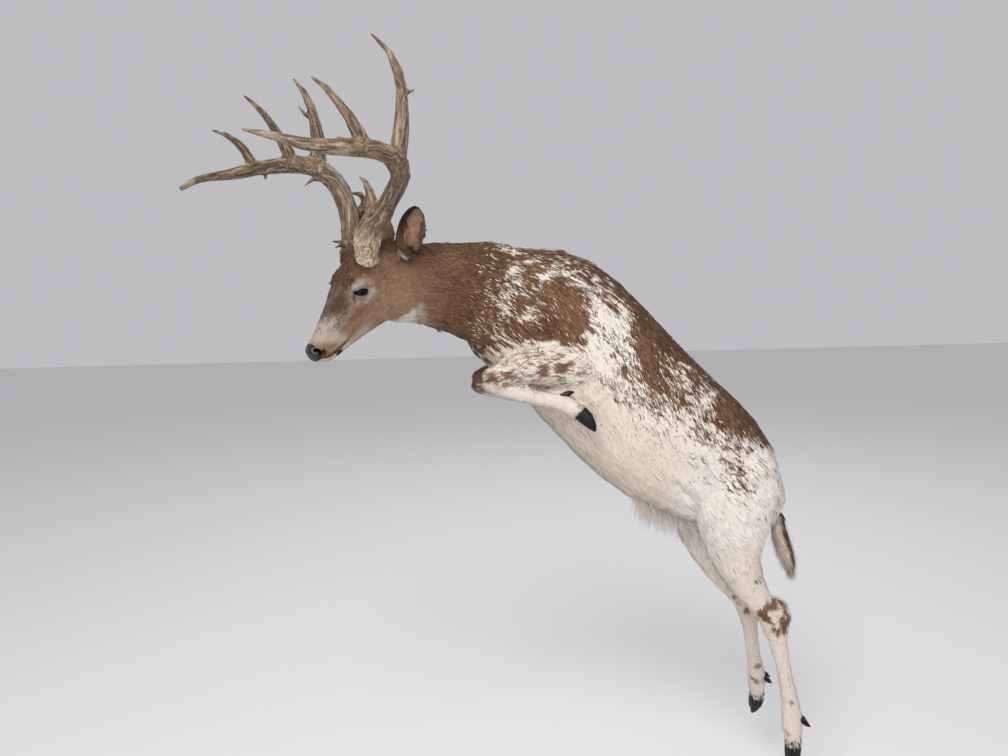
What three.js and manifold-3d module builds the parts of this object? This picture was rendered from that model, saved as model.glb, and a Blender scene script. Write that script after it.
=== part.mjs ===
// A leaping whitetail buck, mounted whole on a wall, at life size, in millimetres.
//
// Frame: the origin is the centre of the hanger's back face, where it meets the wall. +Z is up, +Y points
// into the wall, so the animal is at -Y, and +X points towards its tail: the head is at -X and the left
// side faces -Y. The body is modelled as lofts along the neck and trunk, the head and each leg, parted
// with thin cuts where a person would name a new part.
import * as THREE from 'three';
import { mergeVertices } from 'three/addons/utils/BufferGeometryUtils.js';
import Module from 'manifold-3d';

const wasm = await Module();
wasm.setup();

// ---------------------------------------------------------------- driving dimensions
const GAP = 0.3;                    // clear space between two parts that meet
const SPINE_Y = -235;               // the body's middle plane, measured from the wall
const HEAD_AT = [-736, -395, 291];  // halfway between the eyes
const HEAD_NOD = 47;                // degrees that the muzzle dips below level
const HEAD_TURN = 23;               // degrees that the face turns out from the wall
const HEAD_ROLL = 27;               // degrees that the crown leans out from the wall
const EYE_RADIUS = 16.5;
const EYE_AT = [3, 51, 1];          // in the head's frame: forward, left, up
const EAR = {
  length: 140, width: 90, wall: 6, bow: 13,      // bow: how far the middle is bent backward
  root: [-155, 64, -1], tip: [-206, 158, 81], face: [-0.3, 0.95, 0.05],
};
const HOOF = { length: 62, spread: 11.5 };      // spread: from the foot's middle to each toe's middle
const DEWCLAW = { length: 27, spread: 12 };
const PLATE = { wide: 150, high: 210, thick: 6, corner: 12 };
const BLOCK = { wide: 110, high: 150, reach: 112 };
const SCREW = { radius: 6, dome: 3, inset: 20, margin: 11 };

// ---------------------------------------------------------------- curves
const lerp = (a, b, t) => a + (b - a) * t;

// The value at t (0 to 1) of a smooth curve through evenly spaced values, which never overshoots them.
function blend(values, t) {
  const last = values.length - 1;
  const i = Math.min(last - 1, Math.max(0, Math.floor(t * last)));
  const u = t * last - i;
  const rise = (k) => values[k + 1] - values[k];
  const slope = (k) => {
    if (k === 0) return rise(0);
    if (k === last) return rise(last - 1);
    const [before, after] = [rise(k - 1), rise(k)];
    return before * after <= 0 ? 0 : (2 * before * after) / (before + after);
  };
  const ease = u * u * (3 - 2 * u);
  return lerp(values[i], values[i + 1], ease)
    + slope(i) * u * (1 - u) ** 2 - slope(i + 1) * u * u * (1 - u);
}

// One side of a superellipse: 2 gives an ellipse, a larger number a squarer shape.
const power = (c, square) => Math.sign(c) * Math.abs(c) ** (2 / square);

// ---------------------------------------------------------------- solids
function toSolid(geometry) {
  const bare = geometry.clone();
  bare.deleteAttribute('normal');
  bare.deleteAttribute('uv');
  const merged = mergeVertices(bare, 1e-4);
  return new wasm.Manifold(new wasm.Mesh({
    numProp: 3,
    vertProperties: new Float32Array(merged.attributes.position.array),
    triVerts: new Uint32Array(merged.index.array),
  }));
}

// The largest body of a solid, without the slivers that a cut can leave.
function toGeometry(solid) {
  const bodies = solid.decompose().sort((a, b) => b.volume() - a.volume());
  const mesh = bodies[0].getMesh();
  const geometry = new THREE.BufferGeometry();
  geometry.setAttribute('position', new THREE.BufferAttribute(new Float32Array(mesh.vertProperties), 3));
  geometry.setIndex(new THREE.BufferAttribute(new Uint32Array(mesh.triVerts), 1));
  geometry.computeVertexNormals();
  return geometry;
}

const join = (geometries) => geometries.map(toSolid).reduce((all, one) => all.add(one));
const cut = (solid, ...tools) => tools.reduce((rest, tool) => rest.subtract(tool), solid);

// Rings of points, each joined to the next. A point closes each end, or, where none is given, a strip
// across the ring from its first half to its second.
function skinRings(rings, first, last) {
  const sides = rings[0].length;
  const points = rings.flat();
  const index = [];
  const at = (r, j) => r * sides + (j % sides);
  for (let r = 0; r < rings.length - 1; r++) {
    for (let j = 0; j < sides; j++) {
      index.push(at(r, j), at(r, j + 1), at(r + 1, j + 1));
      index.push(at(r, j), at(r + 1, j + 1), at(r + 1, j));
    }
  }
  function close(r, tip, face) {
    const triangle = (a, b, c) => index.push(...(face > 0 ? [a, b, c] : [a, c, b]));
    if (tip) points.push(tip);
    for (let j = 0; tip && j < sides; j++) triangle(points.length - 1, at(r, j), at(r, j + 1));
    for (let j = 0; !tip && j < sides / 2 - 1; j++) {
      const opposite = sides - 1 - j;
      triangle(at(r, j), at(r, j + 1), at(r, opposite));
      triangle(at(r, j + 1), at(r, opposite - 1), at(r, opposite));
    }
  }
  close(0, first, -1);
  close(rings.length - 1, last, 1);
  const geometry = new THREE.BufferGeometry();
  geometry.setAttribute('position', new THREE.Float32BufferAttribute(points.flatMap((p) => p.toArray()), 3));
  geometry.setIndex(index);
  return geometry;
}

// A body lofted through stations. Each station is [x, y, z, up, down, side, square, pear]: its centre, its
// reach on its two faces and sideways, how square it is, and how much narrower its top is than its bottom.
// The loft runs from one part of its length to another, and start and end are the reach of its rounded
// ends. across is the sideways direction, and grow makes the whole body larger.
function loft(stations, {
  rings = 16, sides = 12, across = [0, 1, 0], from = 0, to = 1, start = 0, end = 0, grow = 0, caps = 3,
} = {}) {
  const centres = stations.map(([x, y, z]) => new THREE.Vector3(x, y, z));
  const path = new THREE.CatmullRomCurve3(centres, false, 'centripetal');
  const column = (k, fallback) => stations.map((s) => s[k] ?? fallback);
  const up = column(3);
  const down = stations.map((s) => s[4] ?? s[3]);
  const side = stations.map((s) => s[5] ?? s[3]);
  const square = column(6, 2);
  const pear = column(7, 0);
  const hint = new THREE.Vector3(...across);

  function ring(t, scale, shift) {
    const tangent = path.getTangent(t);
    const sideways = hint.clone().addScaledVector(tangent, -hint.dot(tangent)).normalize();
    const above = new THREE.Vector3().crossVectors(tangent, sideways);
    const centre = path.getPoint(t).addScaledVector(tangent, shift);
    const points = [];
    for (let j = 0; j < sides; j++) {
      const angle = (2 * Math.PI * j) / sides;
      const c = power(Math.cos(angle), blend(square, t));
      const s = power(Math.sin(angle), blend(square, t));
      const width = (blend(side, t) + grow) * (1 - blend(pear, t) * s) * scale;
      const height = (blend(s > 0 ? up : down, t) + grow) * scale;
      points.push(centre.clone().addScaledVector(sideways, width * c).addScaledVector(above, height * s));
    }
    return { points, centre };
  }

  const body = [];
  function capRings(t, reach, sign) {
    for (let k = 1; k <= caps; k++) {
      const turn = (Math.PI / 2) * (k / (caps + 0.6));
      body.push([t, Math.cos(turn), sign * reach * Math.sin(turn)]);
    }
  }
  if (start) capRings(from, start + grow, -1);
  body.reverse();
  for (let k = 0; k <= rings; k++) body.push([lerp(from, to, k / rings), 1, 0]);
  if (end) capRings(to, end + grow, 1);
  const first = ring(from, 1, start ? -start - grow : 0).centre;
  const last = ring(to, 1, end ? end + grow : 0).centre;
  return skinRings(body.map((b) => ring(...b).points), first, last);
}

// An ellipsoid whose third radius lies along axis.
function lump({ centre, radii, axis = [0, 0, 1] }, grow = 0) {
  const geometry = new THREE.SphereGeometry(1, 8, 5);
  geometry.rotateX(Math.PI / 2);
  geometry.scale(...radii.map((r) => r + grow));
  const turn = new THREE.Quaternion();
  turn.setFromUnitVectors(new THREE.Vector3(0, 0, 1), new THREE.Vector3(...axis).normalize());
  geometry.applyQuaternion(turn);
  geometry.translate(...centre);
  return geometry;
}

// ---------------------------------------------------------------- the scene graph
const COAT = { brown: 0x7d5f48, pied: 0xa98f7a, cream: 0xddd2c4 };
const HORN = 0x1d1a18;
const BONE = { beam: 0xa58c6c, tine: 0xb39a78 };
const group = new THREE.Group();
group.name = 'leaping_whitetail_buck';

function addMesh(parent, name, geometry, color, roughness = 0.9, metalness = 0) {
  const mesh = new THREE.Mesh(geometry, new THREE.MeshStandardMaterial({ color, roughness, metalness }));
  mesh.name = name;
  parent.add(mesh);
}

// ---------------------------------------------------------------- neck and trunk
// One loft from the nape to the buttocks: x, y, z, up, down, side, square, pear.
const spine = [
  [-652, -366, 296, 84, 86, 58, 2.0, 0.0],
  [-580, -334, 302, 104, 103, 70, 2.1, 0.04],
  [-497, -298, 291, 117, 118, 82, 2.1, 0.08],
  [-401, -262, 268, 147, 144, 100, 2.1, 0.1],
  [-321, -240, 222, 190, 174, 118, 2.1, 0.1],
  [-240, SPINE_Y, 175, 211, 189, 128, 2.0, 0.06],
  [-166, SPINE_Y, 122, 208, 203, 135, 2.0, 0.04],
  [-101, SPINE_Y, 58, 202, 210, 141, 2.0, 0.03],
  [-37, SPINE_Y, -13, 202, 211, 147, 2.05, 0.02],
  [30, SPINE_Y, -84, 203, 209, 150, 2.1, 0.02],
  [98, SPINE_Y, -149, 202, 199, 146, 2.1, 0.03],
  [170, SPINE_Y, -206, 194, 176, 138, 2.1, 0.05],
  [243, SPINE_Y, -262, 170, 150, 126, 2.1, 0.08],
  [306, SPINE_Y, -316, 129, 120, 108, 2.1, 0.1],
  [350, SPINE_Y, -350, 90, 84, 82, 2.0, 0.1],
];
const NECK_END = 3.4 / (spine.length - 1);
const PART_CUT = 0.0003;            // a thin cut, as a part of the loft's length
const BEAM_CUT = 0.008;             // a thin cut between two stations of an antler's beam
const shoulders = [1, -1].map((left) => ({
  centre: [-222, SPINE_Y - left * 72, 150], radii: [84, 60, 118], axis: [0.52, 0, 0.85],
}));
const sheath = { centre: [58, SPINE_Y, -318], radii: [22, 15, 60], axis: [0.8, 0, -0.6] };

function trunkSolid(grow) {
  const barrel = loft(spine, { rings: 13, sides: 20, from: NECK_END, end: 34, caps: 2, grow });
  return join([barrel, ...shoulders.map((muscle) => lump(muscle, grow)), lump(sheath, grow)]);
}
const trunkRoom = trunkSolid(GAP);
const neckBarrel = toSolid(loft(spine, { rings: 5, sides: 20, start: 40, to: NECK_END - PART_CUT }));

// ---------------------------------------------------------------- head, in its own frame
// +X forward to the nose, +Y to the animal's left, +Z to the crown, with the origin between the eyes.
const headGroup = new THREE.Group();
{
  const [nod, turn, roll] = [HEAD_NOD, HEAD_TURN, HEAD_ROLL].map(THREE.MathUtils.degToRad);
  const forward = new THREE.Vector3(-Math.cos(nod), 0, -Math.sin(nod));
  const crown = new THREE.Vector3(-Math.sin(nod), 0, Math.cos(nod));
  const leftward = new THREE.Vector3().crossVectors(crown, forward);
  for (const axis of [forward, leftward]) axis.applyAxisAngle(crown, turn);
  for (const axis of [crown, leftward]) axis.applyAxisAngle(forward, -roll);
  headGroup.matrix.makeBasis(forward, leftward, crown).setPosition(...HEAD_AT);
  headGroup.matrix.decompose(headGroup.position, headGroup.quaternion, headGroup.scale);
  headGroup.updateMatrixWorld(true);
}
group.add(headGroup);
const inWorld = (solid) => solid.transform(headGroup.matrixWorld.elements);
const mirror = (part, left) => ({ ...part, centre: [part.centre[0], left * part.centre[1], part.centre[2]] });

// From the back of the skull to the nose pad: x, y, z, up, down, side, square, pear.
const skull = [
  [-128, 0, 4, 58, 88, 56, 2.1, 0.0],
  [-96, 0, 0, 74, 110, 62, 2.2, 0.05],
  [-58, 0, -8, 76, 118, 64, 2.3, 0.0],
  [-18, 0, -14, 72, 111, 58, 2.4, -0.04],
  [22, 0, -20, 60, 96, 50, 2.3, -0.06],
  [62, 0, -28, 53, 78, 42, 2.3, 0.02],
  [102, 0, -36, 46, 60, 36, 2.3, 0.12],
  [140, 0, -43, 38, 45, 33, 2.4, 0.12],
  [170, 0, -43, 30, 35, 31, 2.5, 0.04],
  [186, 0, -41, 24, 24, 26, 2.5, 0.0],
];
const faceFlesh = [
  { centre: [0, 46, 8], radii: [31, 23, 25] },        // the eye's socket
  { centre: [-12, 38, 33], radii: [36, 22, 20] },     // brow
  { centre: [-64, 42, 46], radii: [30, 28, 26] },     // foot of the antler
  { centre: [-42, 36, -52], radii: [50, 27, 46] },    // jowl
  { centre: [-120, 52, 8], radii: [30, 28, 30] },     // root of the ear
];

function headSolid(grow) {
  const lumps = faceFlesh.flatMap((flesh) => [1, -1].map((left) => lump(mirror(flesh, left), grow)));
  return join([loft(skull, { rings: 10, sides: 14, start: 26, end: 12, caps: 2, grow }), ...lumps]);
}
const headRoom = headSolid(GAP);
const neckRoom = toSolid(loft(spine, { rings: 5, sides: 20, start: 40, to: NECK_END, grow: GAP }))
  .transform(headGroup.matrixWorld.clone().invert().elements);

const sphere = (radius, centre) => toSolid(new THREE.SphereGeometry(radius, 9, 6).translate(...centre));
const eyePlaces = [1, -1].map((left) => [EYE_AT[0], left * EYE_AT[1], EYE_AT[2]]);
const eyeSockets = eyePlaces.map((place) => sphere(EYE_RADIUS + GAP, place));

// ---------------------------------------------------------------- ears
// A leaf of skin curled round its axis: nearly closed at the root, open along one face, flat at the tip.
function earSolid(left) {
  const place = ([x, y, z]) => new THREE.Vector3(x, left * y, z);
  const root = place(EAR.root);
  const axis = place(EAR.tip).sub(root).normalize();
  const face = place(EAR.face);
  face.addScaledVector(axis, -face.dot(axis)).normalize();
  const across = new THREE.Vector3().crossVectors(axis, face);
  const steps = 8;                  // rings along the ear
  const arc = 5;                    // strips across it
  const rings = [];
  for (let k = 0; k <= steps; k++) {
    const s = k / steps;
    const halfWidth = (EAR.width / 2) * blend([0.62, 0.8, 0.95, 1.0, 0.94, 0.79, 0.54, 0.18], s);
    const curl = THREE.MathUtils.degToRad(blend([150, 120, 98, 84, 74, 64, 54, 46], s));
    const radius = halfWidth / Math.sin(Math.min(curl, Math.PI / 2));
    const wall = Math.min(EAR.wall * lerp(1.3, 0.85, s), halfWidth * 0.7);
    const middle = root.clone().addScaledVector(axis, s * EAR.length);
    middle.addScaledVector(face, radius - 0.72 * halfWidth);
    middle.addScaledVector(across, left * EAR.bow * Math.sin(Math.PI * s));
    const point = (angle, r) => middle.clone()
      .addScaledVector(face, -r * Math.cos(angle)).addScaledVector(across, r * Math.sin(angle));
    const ring = [];
    for (let j = arc; j >= 0; j--) ring.push(point(lerp(-curl, curl, j / arc), radius));
    for (let j = 0; j <= arc; j++) ring.push(point(lerp(-curl, curl, j / arc), radius - wall));
    rings.push(ring);
  }
  return toSolid(skinRings(rings));
}

// ---------------------------------------------------------------- antlers, in the head's frame
// A beam and the tines that fork from it. A route is a list of [x, y, z, radius] from root to tip, and y is
// outward, so that a right antler is written as a left one. forks are where the beam is parted.
const antlers = {
  left: {
    side: 1,
    beam: [
      [-62, 52, 45, 23], [-100, 64, 84, 34], [-123, 74, 103, 33], [-160, 97, 110, 25], [-194, 128, 135, 22],
      [-220, 168, 157, 23],
      [-228, 200, 190, 26], [-212, 230, 240, 22], [-176, 241, 281, 20.5], [-138, 239, 315, 19],
      [-100, 225, 350, 15.5], [-70, 198, 394, 11], [-45, 167, 434, 7], [-27, 140, 462, 2.5],
    ],
    forks: { mid: 6.1, tip: 8.2 },
    tines: {
      brow: [
        [-140, 84, 122, 18], [-162, 85, 145, 14.5], [-179, 81, 170, 10], [-187, 75, 190, 6], [-186, 70, 206, 2],
      ],
      g2: [
        [-226, 206, 200, 20], [-256, 214, 228, 19.5], [-292, 211, 255, 17], [-323, 205, 281, 14.5],
        [-352, 199, 309, 12.5], [-373, 194, 342, 11], [-386, 190, 385, 6.5], [-379, 186, 434, 2],
      ],
      g3: [
        [-174, 240, 276, 17.5], [-186, 239, 314, 15.5], [-194, 236, 350, 11.5], [-197, 233, 386, 9],
        [-197, 229, 424, 6.5], [-189, 225, 457, 2],
      ],
    },
    points: {
      g2: [[[-348, 200, 303, 6], [-358, 206, 294, 4.5], [-368, 212, 291, 1.5]]],
      tip: [[[-165, 240, 306, 7], [-152, 240, 323, 4.5], [-144, 240, 337, 1.5]]],
      lower: [[[-52, 66, 82, 5], [-40, 74, 92, 1.5]]],
    },
  },
  right: {
    side: -1,
    beam: [
      [-80, 49, 54, 27], [-112, 55, 86, 25], [-151, 71, 126, 24], [-185, 107, 169, 26], [-201, 143, 199, 26],
      [-206, 184, 230, 26], [-196, 217, 257, 24], [-165, 234, 284, 22], [-130, 240, 309, 19.5],
      [-91, 238, 335, 18], [-50, 229, 355, 15.5], [-9, 214, 379, 12], [34, 192, 407, 9.5], [69, 172, 421, 8],
      [100, 155, 428, 5.5],
    ],
    forks: { mid: 5.2, fore: 7.1, tip: 9.0 },
    tines: {
      brow: [
        [-152, 80, 118, 13], [-184, 69, 108, 11], [-205, 64, 121, 9.5], [-204, 61, 143, 7], [-187, 58, 161, 2],
      ],
      g2: [
        [-210, 196, 232, 21], [-238, 206, 260, 20.5], [-266, 206, 289, 18], [-287, 203, 322, 14.5],
        [-304, 199, 357, 11.5], [-314, 194, 396, 8], [-313, 190, 436, 2],
      ],
      g3: [
        [-172, 234, 286, 18], [-186, 232, 310, 17], [-193, 232, 342, 13.5], [-199, 230, 376, 11],
        [-202, 227, 412, 8.5], [-200, 224, 447, 6], [-193, 222, 480, 2],
      ],
      g4: [
        [-88, 238, 338, 14], [-95, 236, 358, 13], [-101, 234, 386, 11], [-99, 231, 413, 9],
        [-90, 226, 442, 6.5],
        [-71, 220, 470, 2],
      ],
    },
    points: {
      g2: [[[-288, 202, 330, 6.5], [-280, 204, 352, 5], [-282, 207, 379, 1.5]]],
      fore: [[[-108, 238, 316, 8], [-93, 239, 300, 3]]],
      lower: [
        [[-88, 50, 86, 7], [-78, 50, 92, 5], [-62, 50, 110, 1.5]],
        [[-84, 42, 80, 6], [-66, 40, 92, 4], [-54, 40, 96, 1.5]],
        [[-200, 160, 208, 9], [-186, 172, 216, 8], [-170, 172, 228, 5.5], [-143, 174, 230, 1.5]],
      ],
    },
  },
};

function addAntler(sideName, { side, beam, forks, tines, points }) {
  const placed = (route) => route.map(([x, y, z, r]) => [x, side * y, z, r]);
  const last = beam.length - 1;
  const beamPart = (from, to, options = {}) => toSolid(loft(placed(beam), {
    from: from / last, to: to / last, rings: Math.round((to - from) * 1.1) + 1, sides: 7, ...options,
  }));
  const horn = (route, sides, grow = 0) => toSolid(loft(placed(route), {
    rings: route.length - 1, sides, end: 2, caps: 1, grow,
  }));
  const spurs = (name, grow = 0) => (points[name] ?? []).map((route) => horn(route, 4, grow));
  const withSpurs = (solid, name, grow = 0) => spurs(name, grow).reduce((all, spur) => all.add(spur), solid);
  const names = ['lower', ...Object.keys(forks)];
  const bounds = [0, ...Object.values(forks), last];
  const burr = {
    centre: [beam[0][0] - 6, side * (beam[0][1] + 5), beam[0][2] + 3],
    radii: [beam[0][3] + 6, beam[0][3] + 6, 12],
    axis: [-0.55, side * 0.38, 0.74],
  };
  function partBetween(k, grow) {
    const from = bounds[k] + (k ? BEAM_CUT : 0);
    const part = beamPart(from, bounds[k + 1], { grow, end: k === names.length - 1 ? 3 : 0, caps: 1 });
    return withSpurs(k ? part : part.add(toSolid(lump(burr, grow))), names[k], grow);
  }
  names.forEach((name, k) => {
    const part = cut(partBetween(k, 0), headRoom);
    addMesh(headGroup, `antler_${sideName}_beam_${name}`, toGeometry(part), BONE.beam, 0.6);
  });
  const beamRoom = names.reduce((all, name, k) => all.add(partBetween(k, GAP)), beamPart(0, last));
  for (const [name, route] of Object.entries(tines)) {
    const tine = withSpurs(cut(horn(route, 6), beamRoom), name);
    addMesh(headGroup, `antler_${sideName}_tine_${name}`, toGeometry(tine), BONE.tine, 0.6);
  }
}

// ---------------------------------------------------------------- legs
// Stations run from the root to the foot: x, y, z, front, back, side, square.
const legs = {
  hind_left: {
    split: 6,
    stations: [
      [222, -296, -188, 112, 112, 48], [246, -312, -266, 133, 132, 66], [250, -322, -332, 108, 108, 64],
      [251, -326, -402, 87, 88, 56], [266, -328, -474, 66, 59, 47], [303, -329, -548, 48, 39, 35],
      [324, -330, -582, 38, 32, 31], [345, -330, -614, 36, 57, 29], [355, -330, -640, 33, 54, 27],
      [368, -330, -682, 28, 30, 22], [384, -330, -752, 19, 20, 17], [399, -330, -824, 20, 20, 17],
      [411, -330, -890, 23, 26, 19], [418, -330, -942, 33, 30, 24], [420, -330, -982, 23, 22, 22],
      [421, -330, -1006, 20, 20, 22],
    ],
    foot: { at: [421, -330, -1010], toward: [-0.08, 0, -1], front: [-1, 0, 0.08] },
    dewclaws: { at: [442, -330, -930], toward: [0.75, 0, -0.66] },
  },
  hind_right: {
    split: 6,
    stations: [
      [190, -176, -196, 110, 110, 46], [204, -162, -272, 126, 126, 64], [206, -156, -340, 106, 108, 62],
      [208, -156, -412, 86, 86, 55], [226, -164, -484, 65, 59, 46], [262, -176, -560, 46, 39, 35],
      [286, -182, -598, 36, 31, 30], [310, -188, -632, 30, 50, 27], [320, -188, -660, 27, 46, 25],
      [334, -186, -702, 23, 26, 21], [345, -174, -764, 19, 19, 17], [360, -150, -832, 20, 20, 17],
      [374, -126, -890, 22, 25, 19], [383, -108, -934, 29, 29, 23], [388, -96, -972, 22, 21, 22],
      [391, -88, -994, 20, 20, 22],
    ],
    foot: { at: [391, -86, -998], toward: [-0.12, 0.28, -0.95], front: [-1, 0, 0.12] },
    dewclaws: { at: [405, -112, -920], toward: [0.75, 0.16, -0.64] },
  },
  fore_left: {
    stations: [
      [-96, -310, 66, 64, 62, 38], [-150, -324, 66, 62, 60, 42], [-214, -340, 74, 54, 52, 40],
      [-268, -348, 79, 46, 45, 36], [-309, -350, 75, 41, 41, 31], [-350, -350, 66, 34, 35, 29],
      [-388, -350, 50, 31, 36, 30],
    ],
    shin: [
      [-398, -350, 34, 20, 22, 25], [-366, -352, 20, 20, 22, 21], [-327, -356, 11, 20, 20, 17],
      [-280, -362, 0, 20, 20, 16], [-240, -368, -7, 19, 19, 17], [-209, -374, -13, 25, 26, 22],
      [-185, -384, -26, 22, 21, 21], [-167, -392, -35, 20, 20, 21],
    ],
    foot: { at: [-165, -393, -37], toward: [0.7, -0.1, -0.7], front: [-0.71, 0, -0.7] },
    dewclaws: { at: [-204, -370, 6], toward: [0.95, 0, 0.3] },
  },
};
// The right foreleg is the left one's mirror image, held a little further forward and lower.
legs.fore_right = (() => {
  const shift = [-44, 0, -34];
  const over = ([x, y, z, ...rest]) => [x + shift[0], 2 * SPINE_Y - y + shift[1], z + shift[2], ...rest];
  const turned = ([x, y, z]) => [x, -y, z];
  const { stations, shin, foot, dewclaws } = legs.fore_left;
  return {
    stations: stations.map(over),
    shin: shin.map(over),
    foot: { at: over(foot.at), toward: turned(foot.toward), front: turned(foot.front) },
    dewclaws: { at: over(dewclaws.at), toward: turned(dewclaws.toward) },
  };
})();
const legShape = { across: [0, -1, 0] };

// A foot's two toes and two dewclaws, each pair side by side.
function addHooves(legName, { foot, dewclaws }, legRoom) {
  const unit = (v) => new THREE.Vector3(...v).normalize();
  const toward = unit(foot.toward);
  const front = unit(foot.front);
  const sideways = new THREE.Vector3().crossVectors(front, toward).normalize();
  const outward = legName.endsWith('left') ? -1 : 1;
  if (sideways.y * outward < 0) sideways.negate();
  for (const [toe, out] of [['outer', 1], ['inner', -1]]) {
    const hoof = [[0.02, 0, 19, 20, 10.6], [0.3, 0, 18, 20, 11], [0.6, 2, 14, 16, 9.5], [0.85, 4, 8, 10, 6],
      [0.98, 6, 3, 4, 2.5]];
    const stations = hoof.map(([along, forward, ahead, behind, half]) => {
      const spread = out * HOOF.spread * (1 + 0.1 * along);
      const centre = new THREE.Vector3(...foot.at).addScaledVector(toward, along * HOOF.length)
        .addScaledVector(front, forward).addScaledVector(sideways, spread);
      return [...centre.toArray(), ahead, behind, half, 2.4];
    });
    const across = new THREE.Vector3().crossVectors(front, toward).toArray();
    const shape = toSolid(loft(stations, { across, rings: 3, sides: 8, end: 1.5, caps: 1 }));
    addMesh(group, `hoof_${legName}_${toe}`, toGeometry(cut(shape, legRoom)), HORN, 0.45);

    const back = unit(dewclaws.toward);
    const clawFront = new THREE.Vector3().crossVectors(sideways, back).normalize();
    const root = new THREE.Vector3(...dewclaws.at).addScaledVector(sideways, out * DEWCLAW.spread);
    const claw = [[-0.3, 7], [0.3, 8], [0.75, 6], [1, 2]].map(([along, r]) => [
      ...root.clone().addScaledVector(back, along * DEWCLAW.length).toArray(), r, r, r * 0.95,
    ]);
    const clawAcross = new THREE.Vector3().crossVectors(clawFront, back).negate().toArray();
    const clawSolid = toSolid(loft(claw, { across: clawAcross, rings: 2, sides: 6, end: 1.5, caps: 1 }));
    addMesh(group, `dewclaw_${legName}_${toe}`, toGeometry(cut(clawSolid, legRoom, trunkRoom)), HORN, 0.5);
  }
}

function addHindLeg(name, leg) {
  const split = leg.split / (leg.stations.length - 1);
  const thigh = toSolid(loft(leg.stations, { ...legShape, rings: 9, sides: 14, to: split, start: 40 }));
  const shank = (grow) => toSolid(loft(leg.stations, {
    ...legShape, rings: 11, sides: 8, from: split + PART_CUT, end: 2, caps: 1, grow,
  }));
  addMesh(group, `leg_${name}_upper`, toGeometry(cut(thigh, trunkRoom)), COAT.cream);
  addMesh(group, `leg_${name}_lower`, toGeometry(shank(0)), COAT.cream);
  addHooves(name, leg, shank(GAP));
}

function addForeLeg(name, leg) {
  const arm = (grow) => toSolid(loft(leg.stations, {
    ...legShape, rings: 7, sides: 12, start: 30, end: 24, caps: 2, grow,
  }));
  const shin = (grow) => toSolid(loft(leg.shin, {
    ...legShape, rings: 7, sides: 8, start: 20, end: 2, caps: 1, grow,
  }));
  addMesh(group, `leg_${name}_upper`, toGeometry(cut(arm(0), trunkRoom)), COAT.cream);
  addMesh(group, `leg_${name}_lower`, toGeometry(cut(shin(0), trunkRoom, arm(GAP))), COAT.cream);
  addHooves(name, leg, shin(GAP));
}

// ---------------------------------------------------------------- tail
// x, y, z, front, back, side.
const tailStations = [
  [372, SPINE_Y, -318, 14, 16, 26], [388, SPINE_Y, -350, 14, 15, 28], [396, SPINE_Y, -400, 15, 15, 32],
  [408, SPINE_Y, -450, 17, 17, 36], [422, SPINE_Y, -495, 15, 15, 30], [431, SPINE_Y, -528, 5, 5, 12],
];

// ---------------------------------------------------------------- hanger
function roundedBoard(wide, high, thick, corner) {
  const shape = new THREE.Shape();
  const [w, h] = [wide / 2, high / 2];
  shape.moveTo(-w + corner, -h).lineTo(w - corner, -h).absarc(w - corner, -h + corner, corner, -Math.PI / 2, 0);
  shape.lineTo(w, h - corner).absarc(w - corner, h - corner, corner, 0, Math.PI / 2);
  shape.lineTo(-w + corner, h).absarc(-w + corner, h - corner, corner, Math.PI / 2, Math.PI);
  shape.lineTo(-w, -h + corner).absarc(-w + corner, -h + corner, corner, Math.PI, 1.5 * Math.PI);
  const board = new THREE.ExtrudeGeometry(shape, { depth: thick, bevelEnabled: false, curveSegments: 3 });
  return board.rotateX(Math.PI / 2);
}
const blockBox = (grow) => new THREE.BoxGeometry(BLOCK.wide + 2 * grow, BLOCK.reach + 2 * grow,
  BLOCK.high + 2 * grow).translate(0, -PLATE.thick - GAP - BLOCK.reach / 2, 0);

function addHanger() {
  const plate = roundedBoard(PLATE.wide, PLATE.high, PLATE.thick, PLATE.corner);
  addMesh(group, 'hanger_plate', plate, 0x8d9094, 0.4, 0.9);
  addMesh(group, 'hanger_block', blockBox(0), 0x9a7a52, 0.7);
  for (const right of [1, -1]) {
    for (const above of [1, -1]) {
      const profile = [[0, 0], [SCREW.radius, 0], [SCREW.radius * 0.75, SCREW.dome * 0.8], [0, SCREW.dome]];
      const dome = new THREE.LatheGeometry(profile.map(([r, h]) => new THREE.Vector2(r, h)), 8);
      dome.rotateX(Math.PI);
      dome.translate(right * (PLATE.wide / 2 - SCREW.margin), -PLATE.thick - GAP,
        above * (PLATE.high / 2 - SCREW.inset));
      const name = `hanger_screw_${above > 0 ? 'top' : 'bottom'}_${right > 0 ? 'right' : 'left'}`;
      addMesh(group, name, toGeometry(toSolid(dome)), 0xb9bcc0, 0.3, 1);
    }
  }
}

// ---------------------------------------------------------------- assembly
addMesh(headGroup, 'head', toGeometry(cut(headSolid(0), ...eyeSockets)), COAT.brown);
['left', 'right'].forEach((name, k) => {
  const side = k ? -1 : 1;
  addMesh(headGroup, `eye_${name}`, toGeometry(sphere(EYE_RADIUS, eyePlaces[k])), 0x120d0a, 0.08);
  addMesh(headGroup, `ear_${name}`, toGeometry(cut(earSolid(side), headRoom, neckRoom)), COAT.brown);
  addAntler(name, antlers[name]);
});
addMesh(group, 'neck', toGeometry(cut(neckBarrel, inWorld(headRoom), trunkRoom)), COAT.brown);
const pocket = toSolid(blockBox(GAP));
addMesh(group, 'trunk', toGeometry(cut(trunkSolid(0), pocket)), COAT.pied);
const tail = toSolid(loft(tailStations, { ...legShape, rings: 6, sides: 8, end: 12, caps: 2 }));
addMesh(group, 'tail', toGeometry(cut(tail, trunkRoom)), COAT.cream);
for (const name of ['hind_left', 'hind_right']) addHindLeg(name, legs[name]);
for (const name of ['fore_left', 'fore_right']) addForeLeg(name, legs[name]);
addHanger();

export default group;
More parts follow.
